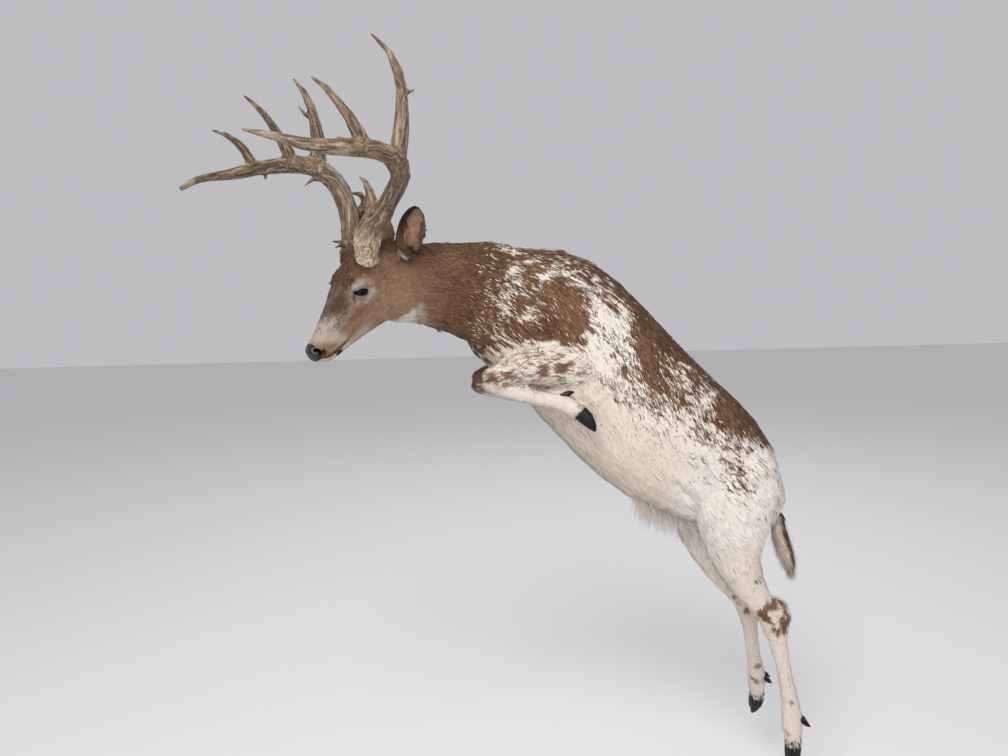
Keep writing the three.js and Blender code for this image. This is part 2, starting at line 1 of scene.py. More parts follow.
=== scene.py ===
"""A leaping piebald whitetail buck, mounted whole on a wall: one skin, its coat, eyes, antlers and hooves.

Metres, in the CAD frame: +Z up, +Y into the wall, the head at -X, the left side towards -Y.
"""
import math

import bmesh
import bpy
import numpy as np
from mathutils import Matrix, Vector


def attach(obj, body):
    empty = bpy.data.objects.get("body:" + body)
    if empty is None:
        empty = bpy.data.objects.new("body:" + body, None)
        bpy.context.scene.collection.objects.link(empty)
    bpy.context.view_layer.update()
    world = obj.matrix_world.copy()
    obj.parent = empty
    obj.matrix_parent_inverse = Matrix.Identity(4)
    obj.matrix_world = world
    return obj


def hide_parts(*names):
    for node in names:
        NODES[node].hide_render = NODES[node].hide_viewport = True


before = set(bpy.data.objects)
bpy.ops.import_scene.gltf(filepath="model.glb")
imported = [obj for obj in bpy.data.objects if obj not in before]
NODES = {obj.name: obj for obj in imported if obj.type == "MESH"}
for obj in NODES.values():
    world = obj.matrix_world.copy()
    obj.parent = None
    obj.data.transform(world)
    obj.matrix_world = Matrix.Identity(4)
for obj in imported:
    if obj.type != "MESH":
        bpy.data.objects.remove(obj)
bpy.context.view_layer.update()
rng = np.random.default_rng(11)
MM = 0.001

# ------------------------------------------------------------------ camera and room
FLOOR_Z, FLOOR_HALF = -1.24, 12.0
IMAGE = (1008, 756)
FOCAL_PX = 791.6
CAMERA_AT = (-0.300, -2.406, 0.335)
CAMERA_PITCH, CAMERA_YAW, CAMERA_ROLL = (math.radians(a) for a in (7.85, -1.64, -1.65))


def link(name, data):
    made = bpy.data.objects.new(name, data)
    bpy.context.scene.collection.objects.link(made)
    return made


def add_camera():
    cy, sy = math.cos(CAMERA_YAW), math.sin(CAMERA_YAW)
    cp, sp = math.cos(CAMERA_PITCH), math.sin(CAMERA_PITCH)
    forward = Vector((sy * cp, cy * cp, -sp))
    level = Vector((cy, -sy, 0))
    above = level.cross(forward)
    right = level * math.cos(CAMERA_ROLL) + above * math.sin(CAMERA_ROLL)
    up = above * math.cos(CAMERA_ROLL) - level * math.sin(CAMERA_ROLL)
    lens = bpy.data.cameras.new("camera")
    lens.sensor_width = 36.0
    lens.lens = FOCAL_PX * lens.sensor_width / IMAGE[0]
    camera = link("camera", lens)
    turn = Matrix((right, up, -forward)).transposed().to_4x4()
    camera.matrix_world = Matrix.Translation(CAMERA_AT) @ turn
    bpy.context.scene.camera = camera


def add_light(name, at, toward, size, watts, color=(1, 1, 1)):
    lamp = bpy.data.lights.new(name, "AREA")
    lamp.shape = "DISK"
    lamp.size = size
    lamp.energy = watts
    lamp.color = color
    made = link(name, lamp)
    made.location = at
    made.rotation_mode = "QUATERNION"
    made.rotation_quaternion = (Vector(toward) - Vector(at)).to_track_quat("-Z", "Y")


def add_room():
    world = bpy.data.worlds.new("room")
    bpy.context.scene.world = world
    world.use_nodes = True
    sky = world.node_tree.nodes["Background"]
    sky.inputs["Color"].default_value = (0.515, 0.515, 0.535, 1)
    sky.inputs["Strength"].default_value = 1.0
    bpy.context.scene.view_settings.view_transform = "Standard"
    floor = bpy.data.meshes.new("floor")
    corners = [(-1, -1), (1, -1), (1, 1), (-1, 1)]
    floor.from_pydata([(x * FLOOR_HALF, y * FLOOR_HALF, FLOOR_Z) for x, y in corners], [], [(0, 1, 2, 3)])
    floor.materials.append(material("pale floor", 0.85, Base_Color=(0.80, 0.795, 0.80, 1))[0])
    link("floor", floor)
    add_light("key", (-1.2, -3.2, 3.4), (-0.1, -0.3, 0.0), 2.2, 138, (1.0, 0.96, 0.91))
    add_light("fill", (0.3, -3.9, 0.6), (-0.1, -0.3, -0.1), 2.0, 22, (1.0, 0.96, 0.92))
    add_light("back", (0.5, 3.0, 3.0), (0.0, -0.2, 0.1), 2.2, 45)


# ------------------------------------------------------------------ numbers
def lattice(ix, iy, iz, seed):
    """A fixed pseudo-random value from -1 to 1 for each whole-numbered point."""
    h = (ix * 374761393 + iy * 668265263 + iz * 1440670441 + seed * 974634777) & 0xFFFFFFFF
    h = ((h ^ (h >> 13)) * 1274126177) & 0xFFFFFFFF
    return (h ^ (h >> 16)) / 2147483647.5 - 1


def noise(p, size, seed=0):
    """Smooth noise from -1 to 1, with features about size across. size may differ along each axis."""
    q = p / np.asarray(size)
    cell = np.floor(q).astype(np.int64)
    f = q - cell
    f = f * f * (3 - 2 * f)
    total = 0
    for corner in range(8):
        step = np.array([corner & 1, corner >> 1 & 1, corner >> 2])
        weight = np.prod(np.where(step, f, 1 - f), axis=1)
        total = total + weight * lattice(*(cell + step).T, seed)
    return total


def cloud(p, size, seed=0):
    return 0.6 * noise(p, size, seed) + 0.28 * noise(p, np.asarray(size) / 2.1, seed + 1) \
        + 0.16 * noise(p, np.asarray(size) / 4.3, seed + 2)


def step_up(x, low, high):
    t = np.clip((x - low) / (high - low), 0, 1)
    return t * t * (3 - 2 * t)


def fall(x, low, high):
    """1 below low, 0 above high."""
    return step_up(-x, -high, -low)


def bell(x, width):
    """1 at 0, falling off to both sides over about a width."""
    return np.exp(-(x / width) ** 2)


def sampled(rows, at):
    """Rows of numbers read at places between them."""
    return np.stack([np.interp(at, np.arange(len(rows)), column) for column in rows.T], 1)


def unit(v):
    return v / np.maximum(np.linalg.norm(v, axis=-1, keepdims=True), 1e-12)


def mix(a, b, t):
    t = np.asarray(t)[..., None]
    return np.asarray(a) * (1 - t) + np.asarray(b) * t


def painted(color, *coats):
    """A colour under further ones, each with its share. A number as a colour dims what is there."""
    for tone, share in coats:
        color = mix(color, color * tone if np.isscalar(tone) else tone, share)
    return color


def hexcolor(text):
    """The linear colour of an sRGB hex code."""
    c = np.array([int(text[k:k + 2], 16) for k in (0, 2, 4)]) / 255
    return np.where(c <= 0.04045, c / 12.92, ((c + 0.055) / 1.055) ** 2.4)


# ------------------------------------------------------------------ meshes as arrays
def read(items, field, each, row, kind=np.float64):
    """One field of all of a mesh's vertices, loops or triangles, in rows."""
    out = np.empty(len(items) * each, dtype=kind)
    items.foreach_get(field, out)
    return out.reshape(-1, row)


def arrays(mesh):
    """Vertices and triangles."""
    mesh.calc_loop_triangles()
    tri = read(mesh.loop_triangles, "vertices", 3, 3, np.int32)
    return read(mesh.vertices, "co", 3, 3), tri.astype(np.int64)


def as_tri(quads):
    return np.concatenate([quads[:, [0, 1, 2]], quads[:, [0, 2, 3]]])


def edges_of(faces):
    pairs = np.concatenate([faces[:, [k, (k + 1) % faces.shape[1]]] for k in range(faces.shape[1])])
    return np.unique(np.sort(pairs, axis=1), axis=0)


def smooth(co, edges, rounds, weight=1.0, steps=(0.5, -0.52)):
    """Smooths without shrinking, by a step in and a slightly longer step out in each round."""
    a, b = edges.T
    n = len(co)
    degree = np.maximum(np.bincount(a, minlength=n) + np.bincount(b, minlength=n), 1)[:, None]
    weight = np.broadcast_to(weight, n)[:, None]
    for _ in range(rounds):
        for step in steps:
            sums = [np.bincount(a, co[b, k], n) + np.bincount(b, co[a, k], n) for k in range(3)]
            co = co + step * weight * (np.stack(sums, 1) / degree - co)
    return co


def face_normals(co, tri):
    return np.cross(co[tri[:, 1]] - co[tri[:, 0]], co[tri[:, 2]] - co[tri[:, 0]])


def volume(co, tri):
    return (co[tri[:, 0]] * np.cross(co[tri[:, 1]], co[tri[:, 2]])).sum() / 6


def outward(co, tri):
    """The triangles of a closed shape, turned to face out."""
    return tri if volume(co - co.mean(0), tri) >= 0 else tri[:, ::-1]


def normals_of(co, tri):
    face = face_normals(co, tri)
    total = np.zeros_like(co)
    for corner in range(3):
        for k in range(3):
            total[:, k] += np.bincount(tri[:, corner], face[:, k], len(co))
    return unit(total)


def build(name, co, tri, material, colors=None, normals=None, uv=None, extra=()):
    """An object from arrays, smooth shaded. colors is the Coat attribute, extra more named ones."""
    mesh = bpy.data.meshes.new(name)
    mesh.vertices.add(len(co))
    mesh.vertices.foreach_set("co", np.ascontiguousarray(co, dtype=np.float32).ravel())
    mesh.loops.add(len(tri) * 3)
    mesh.loops.foreach_set("vertex_index", tri.astype(np.int32).ravel())
    mesh.polygons.add(len(tri))
    mesh.polygons.foreach_set("loop_start", np.arange(0, len(tri) * 3, 3, dtype=np.int32))
    if uv is not None:
        layer = mesh.uv_layers.new(name="OFBake")
        layer.data.foreach_set("uv", uv[tri.ravel()].astype(np.float32).ravel())
    if colors is not None:
        rgba = np.ones((len(co), 4), dtype=np.float32)
        rgba[:, :3] = colors
        mesh.attributes.new("Coat", "FLOAT_COLOR", "POINT").data.foreach_set("color", rgba.ravel())
    for key, values in extra:
        kind, field = ("FLOAT", "value") if values.ndim == 1 else ("FLOAT_VECTOR", "vector")
        mesh.attributes.new(key, kind, "POINT").data.foreach_set(field, values.astype(np.float32).ravel())
    mesh.materials.append(material)
    mesh.update(calc_edges=True)
    mesh.shade_smooth()
    if normals is not None:
        mesh.normals_split_custom_set_from_vertices(normals.astype(np.float32))
    return link(name, mesh)


def solid_of(names, swell):
    """One mesh of several CAD nodes, each made a little larger so that neighbours overlap."""
    joined = bpy.data.meshes.new("joined")
    whole = bmesh.new()
    for name in names:
        part = bmesh.new()
        part.from_mesh(NODES[name].data)
        bmesh.ops.remove_doubles(part, verts=part.verts, dist=1e-5)
        part.normal_update()
        for v in part.verts:
            v.co += v.normal * swell
        part.to_mesh(joined)
        part.free()
        whole.from_mesh(joined)
    whole.to_mesh(joined)
    whole.free()
    return joined


def remesh(mesh, voxel):
    """The outside of a mesh as even quads: vertices and faces."""
    made = link("remesh", mesh)
    modifier = made.modifiers.new("remesh", "REMESH")
    modifier.mode = "VOXEL"
    modifier.voxel_size = voxel
    out = bpy.data.meshes.new_from_object(made.evaluated_get(bpy.context.evaluated_depsgraph_get()))
    co = read(out.vertices, "co", 3, 3)
    quads = read(out.loops, "vertex_index", 1, 4, np.int32).astype(np.int64)
    bpy.data.objects.remove(made)
    bpy.data.meshes.remove(out)
    return co, quads


def keep_faces(co, faces, wanted):
    faces = faces[wanted]
    used, index = np.unique(faces, return_inverse=True)
    return co[used], index.reshape(faces.shape)


def to_bmesh(co, faces):
    mesh = bpy.data.meshes.new("part")
    mesh.from_pydata(co.tolist(), [], faces.tolist())
    made = bmesh.new()
    made.from_mesh(mesh)
    bpy.data.meshes.remove(mesh)
    return made


def from_bmesh(made):
    bmesh.ops.triangulate(made, faces=made.faces)
    mesh = bpy.data.meshes.new("part")
    made.to_mesh(mesh)
    made.free()
    out = arrays(mesh)
    bpy.data.meshes.remove(mesh)
    return out


def border(tri):
    """The open edge of a surface as one loop of vertices, in order."""
    pairs = np.concatenate([tri[:, [0, 1]], tri[:, [1, 2]], tri[:, [2, 0]]])
    seen = {(a, b) for a, b in pairs.tolist()}
    following = {a: b for a, b in seen if (b, a) not in seen}
    loops = []
    while following:
        start, here = following.popitem()
        loop = [start]
        while here != start:
            loop.append(here)
            here = following.pop(here)
        loops.append(loop)
    return np.array(max(loops, key=len))


def zip_loops(co, loop_a, loop_b, centre, axis):
    """Triangles between two rings of vertices round one axis."""
    side = unit(np.cross(axis, (0, 0, 1)))
    up = np.cross(side, axis)

    def angles(loop):
        return np.arctan2((co[loop] - centre) @ up, (co[loop] - centre) @ side)

    def ordered(loop):
        turn = np.unwrap(angles(loop))
        if turn[-1] < turn[0]:
            loop = loop[::-1]
        loop = np.roll(loop, -int(np.argmin(np.abs(angles(loop)))))
        turn = np.unwrap(angles(loop))
        return np.append(loop, loop[0]), np.append(turn, turn[0] + 2 * math.pi)

    (a, ta), (b, tb) = ordered(loop_a), ordered(loop_b)
    i = j = 0
    out = []
    while i < len(a) - 1 or j < len(b) - 1:
        if j == len(b) - 1 or (i < len(a) - 1 and ta[i + 1] < tb[j + 1]):
            out.append((a[i], a[i + 1], b[j]))
            i += 1
        else:
            out.append((a[i], b[j + 1], b[j]))
            j += 1
    return np.array(out)


# ------------------------------------------------------------------ the body's own coordinates
HEAD_AT = np.array([-0.736, -0.395, 0.291])
HEAD_NOD, HEAD_TURN, HEAD_ROLL = (math.radians(a) for a in (47, 23, 27))
# x, y, z and the reach up and down, from the nape to the buttocks, in millimetres
SPINE = MM * np.array([
    [-652, -366, 296, 84, 86], [-580, -334, 302, 104, 103], [-497, -298, 291, 117, 118],
    [-401, -262, 268, 147, 144], [-321, -240, 222, 190, 174], [-240, -235, 175, 211, 189],
    [-166, -235, 122, 208, 203], [-101, -235, 58, 202, 210], [-37, -235, -13, 202, 211],
    [30, -235, -84, 203, 209], [98, -235, -149, 202, 199], [170, -235, -206, 194, 176],
    [243, -235, -262, 170, 150], [306, -235, -316, 129, 120], [350, -235, -350, 90, 84],
])
SPINE_Y = -0.235                     # the body's middle plane
BARREL = 190                         # millimetres along the side, from its middle line to the back or belly
FINE = sampled(SPINE, np.linspace(0, 14, 281))
ALONG = np.r_[0, np.cumsum(np.hypot(*np.diff(FINE[:, [0, 2]], axis=0).T))]
CHUNK = 20000                        # points looked up at a time
NECK_CUT = 0.13                      # along the spine, where the fine and the coarse skin meet


def turned(v, axis, angle):
    c, s = math.cos(angle), math.sin(angle)
    return v * c + np.cross(axis, v) * s + axis * (axis @ v) * (1 - c)


def head_axes():
    forward = np.array([-math.cos(HEAD_NOD), 0, -math.sin(HEAD_NOD)])
    crown = np.array([-math.sin(HEAD_NOD), 0, math.cos(HEAD_NOD)])
    left = np.cross(crown, forward)
    forward, left = turned(forward, crown, HEAD_TURN), turned(left, crown, HEAD_TURN)
    return np.stack([forward, turned(left, forward, -HEAD_ROLL), turned(crown, forward, -HEAD_ROLL)], 1)


HEAD = head_axes()


def in_head(p):
    """Millimetres forward, to the left and up, from between the eyes."""
    return (p - HEAD_AT) @ HEAD / MM


def from_head(q):
    return HEAD_AT + np.asarray(q) * MM @ HEAD.T


def on_spine(p):
    """Distance along the spine, height from belly (-1) to back (1), and the spine's direction."""
    near = np.concatenate([
        np.argmin((q[:, None, 0] - FINE[None, :, 0]) ** 2 + (q[:, None, 2] - FINE[None, :, 2]) ** 2, axis=1)
        for q in np.array_split(p, max(1, len(p) // CHUNK))])
    t = unit(np.gradient(FINE[:, :3], axis=0))[near]
    off = (p[:, 2] - FINE[near, 2]) * t[:, 0] - (p[:, 0] - FINE[near, 0]) * t[:, 2]
    off = off / np.hypot(t[:, 0], t[:, 2])
    return ALONG[near], off / np.where(off > 0, FINE[near, 3], FINE[near, 4]), t


def axis_path(names, toward, count):
    """Centres along some nodes' longest axis, running the way that toward points, with their mean radius."""
    points = np.concatenate([arrays(NODES[n].data)[0] for n in names])
    middle = points.mean(0)
    axis = np.linalg.svd(points - middle, full_matrices=False)[2][0]
    if axis @ np.asarray(toward) < 0:
        axis = -axis
    t = (points - middle) @ axis
    width = (t.max() - t.min()) / count
    centres, radius = [], []
    for k in np.linspace(t.min(), t.max(), count):
        w = bell(t - k, width)
        centre = (points * w[:, None]).sum(0) / w.sum()
        off = points[np.abs(t - k) < width * 1.5] - centre
        off = off - np.outer(off @ axis, axis)
        centres.append(centre)
        radius.append(np.sqrt((off ** 2).sum(1).mean()))
    centres = np.array(centres)
    return centres, unit(np.gradient(centres, axis=0)), np.array(radius)


LIMBS = {
    "hind_left": (["leg_hind_left_upper", "leg_hind_left_lower"], (0.2, 0, -1), 16),
    "hind_right": (["leg_hind_right_upper", "leg_hind_right_lower"], (0.2, 0, -1), 16),
    "arm_left": (["leg_fore_left_upper"], (-1, 0, 0), 8),
    "arm_right": (["leg_fore_right_upper"], (-1, 0, 0), 8),
    "shin_left": (["leg_fore_left_lower"], (1, 0, 0), 8),
    "shin_right": (["leg_fore_right_lower"], (1, 0, 0), 8),
    "tail": (["tail"], (0, 0, -1), 8),
    "ear_left": (["ear_left"], HEAD @ (-0.5, 0.7, 0.6), 6),
    "ear_right": (["ear_right"], HEAD @ (-0.5, -0.7, 0.6), 6),
}
PATHS = {name: axis_path(*spec) for name, spec in LIMBS.items()}
LEGS = [name for name in LIMBS if name.startswith(("hind", "arm", "shin"))]
SIDES = {"left": 1, "right": -1}


def side_of(name):
    return SIDES[name.split("_")[-1]]


def place_on(path, p):
    """A path's direction by each point, the part of its length, and the distance over its radius."""
    centres, slopes, radius = path
    near = np.argmin(((p[:, None] - centres[None]) ** 2).sum(2), axis=1)
    away = p - centres[near]
    t = slopes[near]
    along = (away * t).sum(1)
    distance = np.linalg.norm(away - along[:, None] * t, axis=1)
    gap = np.linalg.norm(np.gradient(centres, axis=0), axis=1)[near]
    overshoot = np.maximum(np.abs(along) - gap, 0)
    return t, (near + along / gap) / (len(centres) - 1), (distance + overshoot) / radius[near]


def middle_of(name, part):
    """The point of a limb's axis at a part of its length, and the radius there."""
    centres, _, radius = PATHS[name]
    at = np.clip(part, 0, 1) * (len(centres) - 1)
    return sampled(centres, at), np.interp(at, np.arange(len(centres)), radius)


def flat(v, normal):
    """The direction of v along the surface."""
    return unit(v - normal * (v * normal).sum(1)[:, None])


class Place:
    """Where points are on the animal: head coordinates, spine coordinates, limbs and the lie of the hair."""

    def __init__(self, p, normal=None):
        self.p = p
        self.normal = normal
        self.q = in_head(p)
        self.s, self.h, self.tangent = on_spine(p)
        self.left = p[:, 1] < SPINE_Y
        self.limb = {name: place_on(path, p) for name, path in PATHS.items()}
        self.is_head = step_up(self.q[:, 0], -150, -95) * fall(self.s, 0.04, 0.1)
        self.ear = self.part_of_any("ear_left", "ear_right")

    def part_of(self, name):
        """1 on a limb, falling to 0 off it."""
        _, part, rel = self.limb[name]
        if name.startswith("ear"):
            return fall(rel, 1.35, 1.7) * step_up(part, -0.02, 0.1)
        on = fall(rel, 1.25, 1.75)
        if name.startswith("hind"):
            return on * step_up(part, 0.12, 0.45)
        return on * step_up(part, 0.0, 0.12) if name == "tail" else on

    def part_of_any(self, *names):
        return np.maximum.reduce([self.part_of(name) for name in names])

    def flow(self):
        """The lie of the coat: back along the body and down, down the legs, back over the face."""
        spine = self.tangent
        down = np.stack([spine[:, 2], 0 * spine[:, 1], -spine[:, 0]], 1)
        slope = 0.22 + 0.2 * step_up(self.h, -0.2, 0.6) * step_up(self.s, 0.3, 0.6)
        d = spine + (slope - 0.3 * fall(self.h, -0.9, -0.4))[:, None] * down
        back = np.broadcast_to(-HEAD[:, 0], d.shape)
        face = mix(back, back - 0.35 * HEAD[:, 2], fall(self.q[:, 2], -40, 10))
        d = mix(d, face, self.is_head)
        for name in PATHS:
            d = mix(d, self.limb[name][0], self.part_of(name))
        return d


# ------------------------------------------------------------------ one skin
FLESH = [name for name in NODES if name.split("_")[0] in ("head", "neck", "trunk", "tail", "leg", "ear")]
FINE_VOXEL, COARSE_VOXEL = 2.5 * MM, 6.6 * MM
FINE_ROUNDS, COARSE_ROUNDS, JOWL_ROUNDS = 26, 22, 46     # of smoothing
EYE_RADIUS = 16.5
EYE_AT = np.array([3.0, 51.0, 1.0])
LID_AT = (0.5, 3.0)                  # forward and up, the middle of the eye's opening
LID_TILT = math.radians(32)          # of the opening, from the muzzle's direction up
LID_HALF = 19.5
LID_RISE, LID_DROP = 6.5, 9.5
LID_BALL = EYE_RADIUS + 1.7          # the lids' outside
LID_POWER = 1.6                      # of the opening's outline, between a diamond (1) and an ellipse (2)
# (forward, up) along each line, in the head's millimetres
MOUTH = [(193, -51), (184, -50), (161, -65), (144, -68.5), (109, -68)]
NOSTRIL = [(179, -28), (175, -31), (173, -37), (176, -43)]
TEAR = [(17, 13), (23, 3), (30, -12)]


def to_line(x, z, line):
    """Distance from points to a line of (x, z) pairs."""
    best = np.full(len(x), 1e9)
    for (ax, az), (bx, bz) in zip(line[:-1], line[1:]):
        dx, dz = bx - ax, bz - az
        t = np.clip(((x - ax) * dx + (z - az) * dz) / (dx * dx + dz * dz), 0, 1)
        best = np.minimum(best, np.hypot(x - ax - t * dx, z - az - t * dz))
    return best


def lid_place(x, z):
    """How far a point is across the eye's opening, 1 at its edge, and how far over its middle line."""
    dx, dz = x - LID_AT[0], z - LID_AT[1]
    a = (dx * math.cos(LID_TILT) + dz * math.sin(LID_TILT)) / LID_HALF
    b = -dx * math.sin(LID_TILT) + dz * math.cos(LID_TILT)
    b = b / np.where(b > 0, LID_RISE, LID_DROP)
    return (np.abs(a) ** LID_POWER + np.abs(b) ** LID_POWER) ** (1 / LID_POWER), b


def over_ball(x, z, radius, least):
    """How far out a ball round the eye's middle comes."""
    r2 = (x - EYE_AT[0]) ** 2 + (z - EYE_AT[2]) ** 2
    return EYE_AT[1] + np.sqrt(np.maximum(radius ** 2 - r2, least))


def joined_skin():
    """The flesh nodes as one surface: fine on the head, coarser behind the ears, one mesh throughout."""
    mesh = solid_of(FLESH + ["eye_left", "eye_right"], 1.1 * MM)
    near = int(np.argmin(np.abs(ALONG - NECK_CUT)))
    at = FINE[near, :3]
    axis = unit(FINE[near + 3, :3] - FINE[near - 3, :3])

    co, quads = remesh(mesh.copy(), FINE_VOXEL)
    co, quads = keep_faces(co, quads, ((co[quads[:, 0]] - at) @ axis) < 0.05)
    ears = np.minimum(place_on(PATHS["ear_left"], co)[2], place_on(PATHS["ear_right"], co)[2])
    co = smooth(co, edges_of(quads), FINE_ROUNDS, 0.25 + 0.75 * step_up(ears, 1.3, 2.2))
    x, y, z = in_head(co).T
    jowl = to_line(x, z, [(-100, 15), (-85, -10), (-60, -36), (-28, -66), (-4, -98), (-20, -128)])
    co = smooth(co, edges_of(quads), JOWL_ROUNDS, bell(jowl, 20) * (ears > 1.6), (0.5,))
    head = to_bmesh(co, quads)
    x, y, z = in_head(co).T
    y = np.abs(y)
    wanted = (np.hypot(x - EYE_AT[0], z - EYE_AT[2]) < 30) & (y > 40)
    wanted |= (to_line(x, z, NOSTRIL) < 12) & (y > 4)
    wanted |= (to_line(x, z, MOUTH) < 6) & (x > 90)
    wanted = wanted.tolist()
    chosen = [e for e in head.edges if wanted[e.verts[0].index] and wanted[e.verts[1].index]]
    bmesh.ops.subdivide_edges(head, edges=chosen, cuts=1, use_grid_fill=True)

    co, quads = remesh(mesh, COARSE_VOXEL)
    co = smooth(co, edges_of(quads), COARSE_ROUNDS)
    co, quads = keep_faces(co, quads, ((co[quads[:, 0]] - at) @ axis) > -0.03)
    body = to_bmesh(co, quads)
    parts = []
    for part, side in ((head, 1), (body, -1)):
        bmesh.ops.bisect_plane(part, geom=part.verts[:] + part.edges[:] + part.faces[:], dist=1e-4,
                               plane_co=at, plane_no=axis * side, clear_outer=True)
        parts.append(from_bmesh(part))
    (co_a, tri_a), (co_b, tri_b) = parts
    co = np.concatenate([co_a, co_b])
    band = zip_loops(co, border(tri_a), border(tri_b) + len(co_a), at, axis)
    outward = ((co[band].mean(1) - at) * face_normals(co, band)).sum(1).sum()
    return co, np.concatenate([tri_a, tri_b + len(co_a), band if outward > 0 else band[:, ::-1]])


LIMB_DEPTH = {"hind": 2.0, "arm": 2.6, "shin": 1.7, "tail": 2.5, "ear": 0.2}     # of the coat, in millimetres


def coat_depth(place):
    """How far the skin lies under the coat's outside, in metres."""
    depth = 4.6 - 0.9 * fall(place.s, 0.12, 0.25)
    depth = depth + (1.5 - depth) * place.is_head
    muzzle = place.is_head * step_up(place.q[:, 0], 110, 165)
    depth = depth + (0.5 - depth) * muzzle
    for name in PATHS:
        on = place.part_of(name)
        if name.startswith("hind"):
            on = on * step_up(place.limb[name][1], 0.3, 0.6)
        depth = depth + (LIMB_DEPTH[name.split("_")[0]] - depth) * on
    return depth * MM


def shape_face(co, normal):
    """Lids, tear duct, brow, nostrils, mouth and the bones under the face."""
    q = in_head(co)
    x, y, z = q.T
    side = np.sign(y)
    y = np.abs(y)
    n = normal @ HEAD
    near_head = (x > -140) & (y < 120)
    lateral = step_up(y, 8, 16) * near_head
    lift = np.zeros(len(q))

    flank = step_up(y, 5, 9) * near_head
    for points, radius, height, on in (
            ([(26, 24), (4, 27), (-22, 12)], 8, 1.4, lateral),                   # brow
            ([(2, 58), (14, 52)], 11, -2.6, lateral),                            # over the brow
            ([(28, 43), (50, 31)], 11, 2.4, lateral),                            # before it
            ([(-34, 22), (-52, 8)], 13, -2.5, lateral),                          # temple
            ([(30, -26), (60, -30), (104, -34)], 9, 1.5, lateral),               # cheek bone
            ([(24, -2), (60, -14), (110, -22)], 9, -1.6, lateral),               # hollow before the eye
            ([(-20, -60), (-8, -90), (-30, -116)], 16, 2.5, lateral),            # jaw
            ([(20, -52), (4, -86)], 9, -1.6, lateral),                           # before the jaw muscle
            (TEAR, 2.1, -3.0, lateral),
            ([(193, -42), (182, -44), (160, -58), (125, -62)], 4.5, 1.4, flank), # upper lip
            ([(186, -60), (160, -74), (130, -77)], 4.5, 1.0, flank),             # lower lip
            (MOUTH, 2.0, -4.2, near_head),
            (NOSTRIL, 8.0, 3.0, flank),                                          # the nostril's wing
            (NOSTRIL, 3.6, -12.5, flank)):
        lift += height * bell(to_line(x, z, points), radius) * on
    groove = bell(y, 1.6) * step_up(x, 184, 190) * step_up(z, -58, -50) * fall(z, -30, -22)
    lift -= 1.6 * groove
    lift -= 2.2 * step_up(x, 168, 180) * fall(z, -56, -52) * near_head     # the chin is set back
    q = q + n * lift[:, None]

    x, z = q[:, 0], q[:, 2]
    rho, b = lid_place(x, z)
    rim, fold = 1.3 * bell(rho - 1.13, 0.12), 1.5 * bell(rho - 1.55, 0.13) * (b > 0)
    lid = over_ball(x, z, LID_BALL, 16.0) + rim - fold
    behind_glass = over_ball(x, z, EYE_RADIUS, 4.0) - 4.5
    hole = np.where(np.hypot(x - EYE_AT[0], z - EYE_AT[2]) < 14.5, behind_glass, lid - 3.0)
    around = (1 - step_up(rho, 1.0, 1.95)) * (y > 38)
    goal = np.where(rho < 1, hole, lid)
    new_y = np.abs(q[:, 1]) * (1 - around) + goal * around
    q[:, 1] = np.where(around > 0, side * new_y, q[:, 1])
    return from_head(q)


def tube(points, radius, sides):
    """A closed ring of tube through points, as vertices and triangles."""
    n = len(points)
    ahead = unit(np.roll(points, -1, 0) - np.roll(points, 1, 0))
    out = unit(points - points.mean(0))
    up = unit(np.cross(ahead, out))
    out = np.cross(up, ahead)
    turn = 2 * math.pi * np.arange(sides) / sides
    co = points[:, None] + radius * (np.cos(turn)[None, :, None] * out[:, None]
                                     + np.sin(turn)[None, :, None] * up[:, None])
    i, j = np.meshgrid(np.arange(n), np.arange(sides), indexing="ij")
    k, m = (i + 1) % n, (j + 1) % sides
    quads = np.stack([i * sides + j, k * sides + j, k * sides + m, i * sides + m], -1).reshape(-1, 4)
    return co.reshape(-1, 3), as_tri(quads)


def lid_ring(side, count=56, size=1.02):
    """Points round the edge of the eye's opening."""
    turn = 2 * math.pi * np.arange(count) / count
    a, b = (np.sign(v) * np.abs(v) ** (2 / LID_POWER) * size for v in (np.cos(turn), np.sin(turn)))
    a, b = a * LID_HALF, b * np.where(b > 0, LID_RISE, LID_DROP)
    x = LID_AT[0] + a * math.cos(LID_TILT) - b * math.sin(LID_TILT)
    z = LID_AT[1] + a * math.sin(LID_TILT) + b * math.cos(LID_TILT)
    return np.stack([x, side * (over_ball(x, z, LID_BALL, 16.0) - 0.4), z], 1)


# ------------------------------------------------------------------ markings
BROWN, DARK_BROWN = hexcolor("78573f"), hexcolor("453327")
TAN, PALE_TAN = hexcolor("957560"), hexcolor("b3957f")
WHITE, CREAM, BUFF = hexcolor("eee7df"), hexcolor("e6d9cb"), hexcolor("d6c5b2")
BLACK, GRIZZLE, SILVER = hexcolor("191617"), hexcolor("5d5249"), hexcolor("ab9f95")
RUFOUS, PINK, EAR_TAN = hexcolor("85573a"), hexcolor("bfa491"), hexcolor("d2ab8e")
# PAD_GREY is the pad's own grey, and also its painted highlight toward the front
PAD_BLACK, PAD_GREY = hexcolor("1f1a19"), hexcolor("403a37")
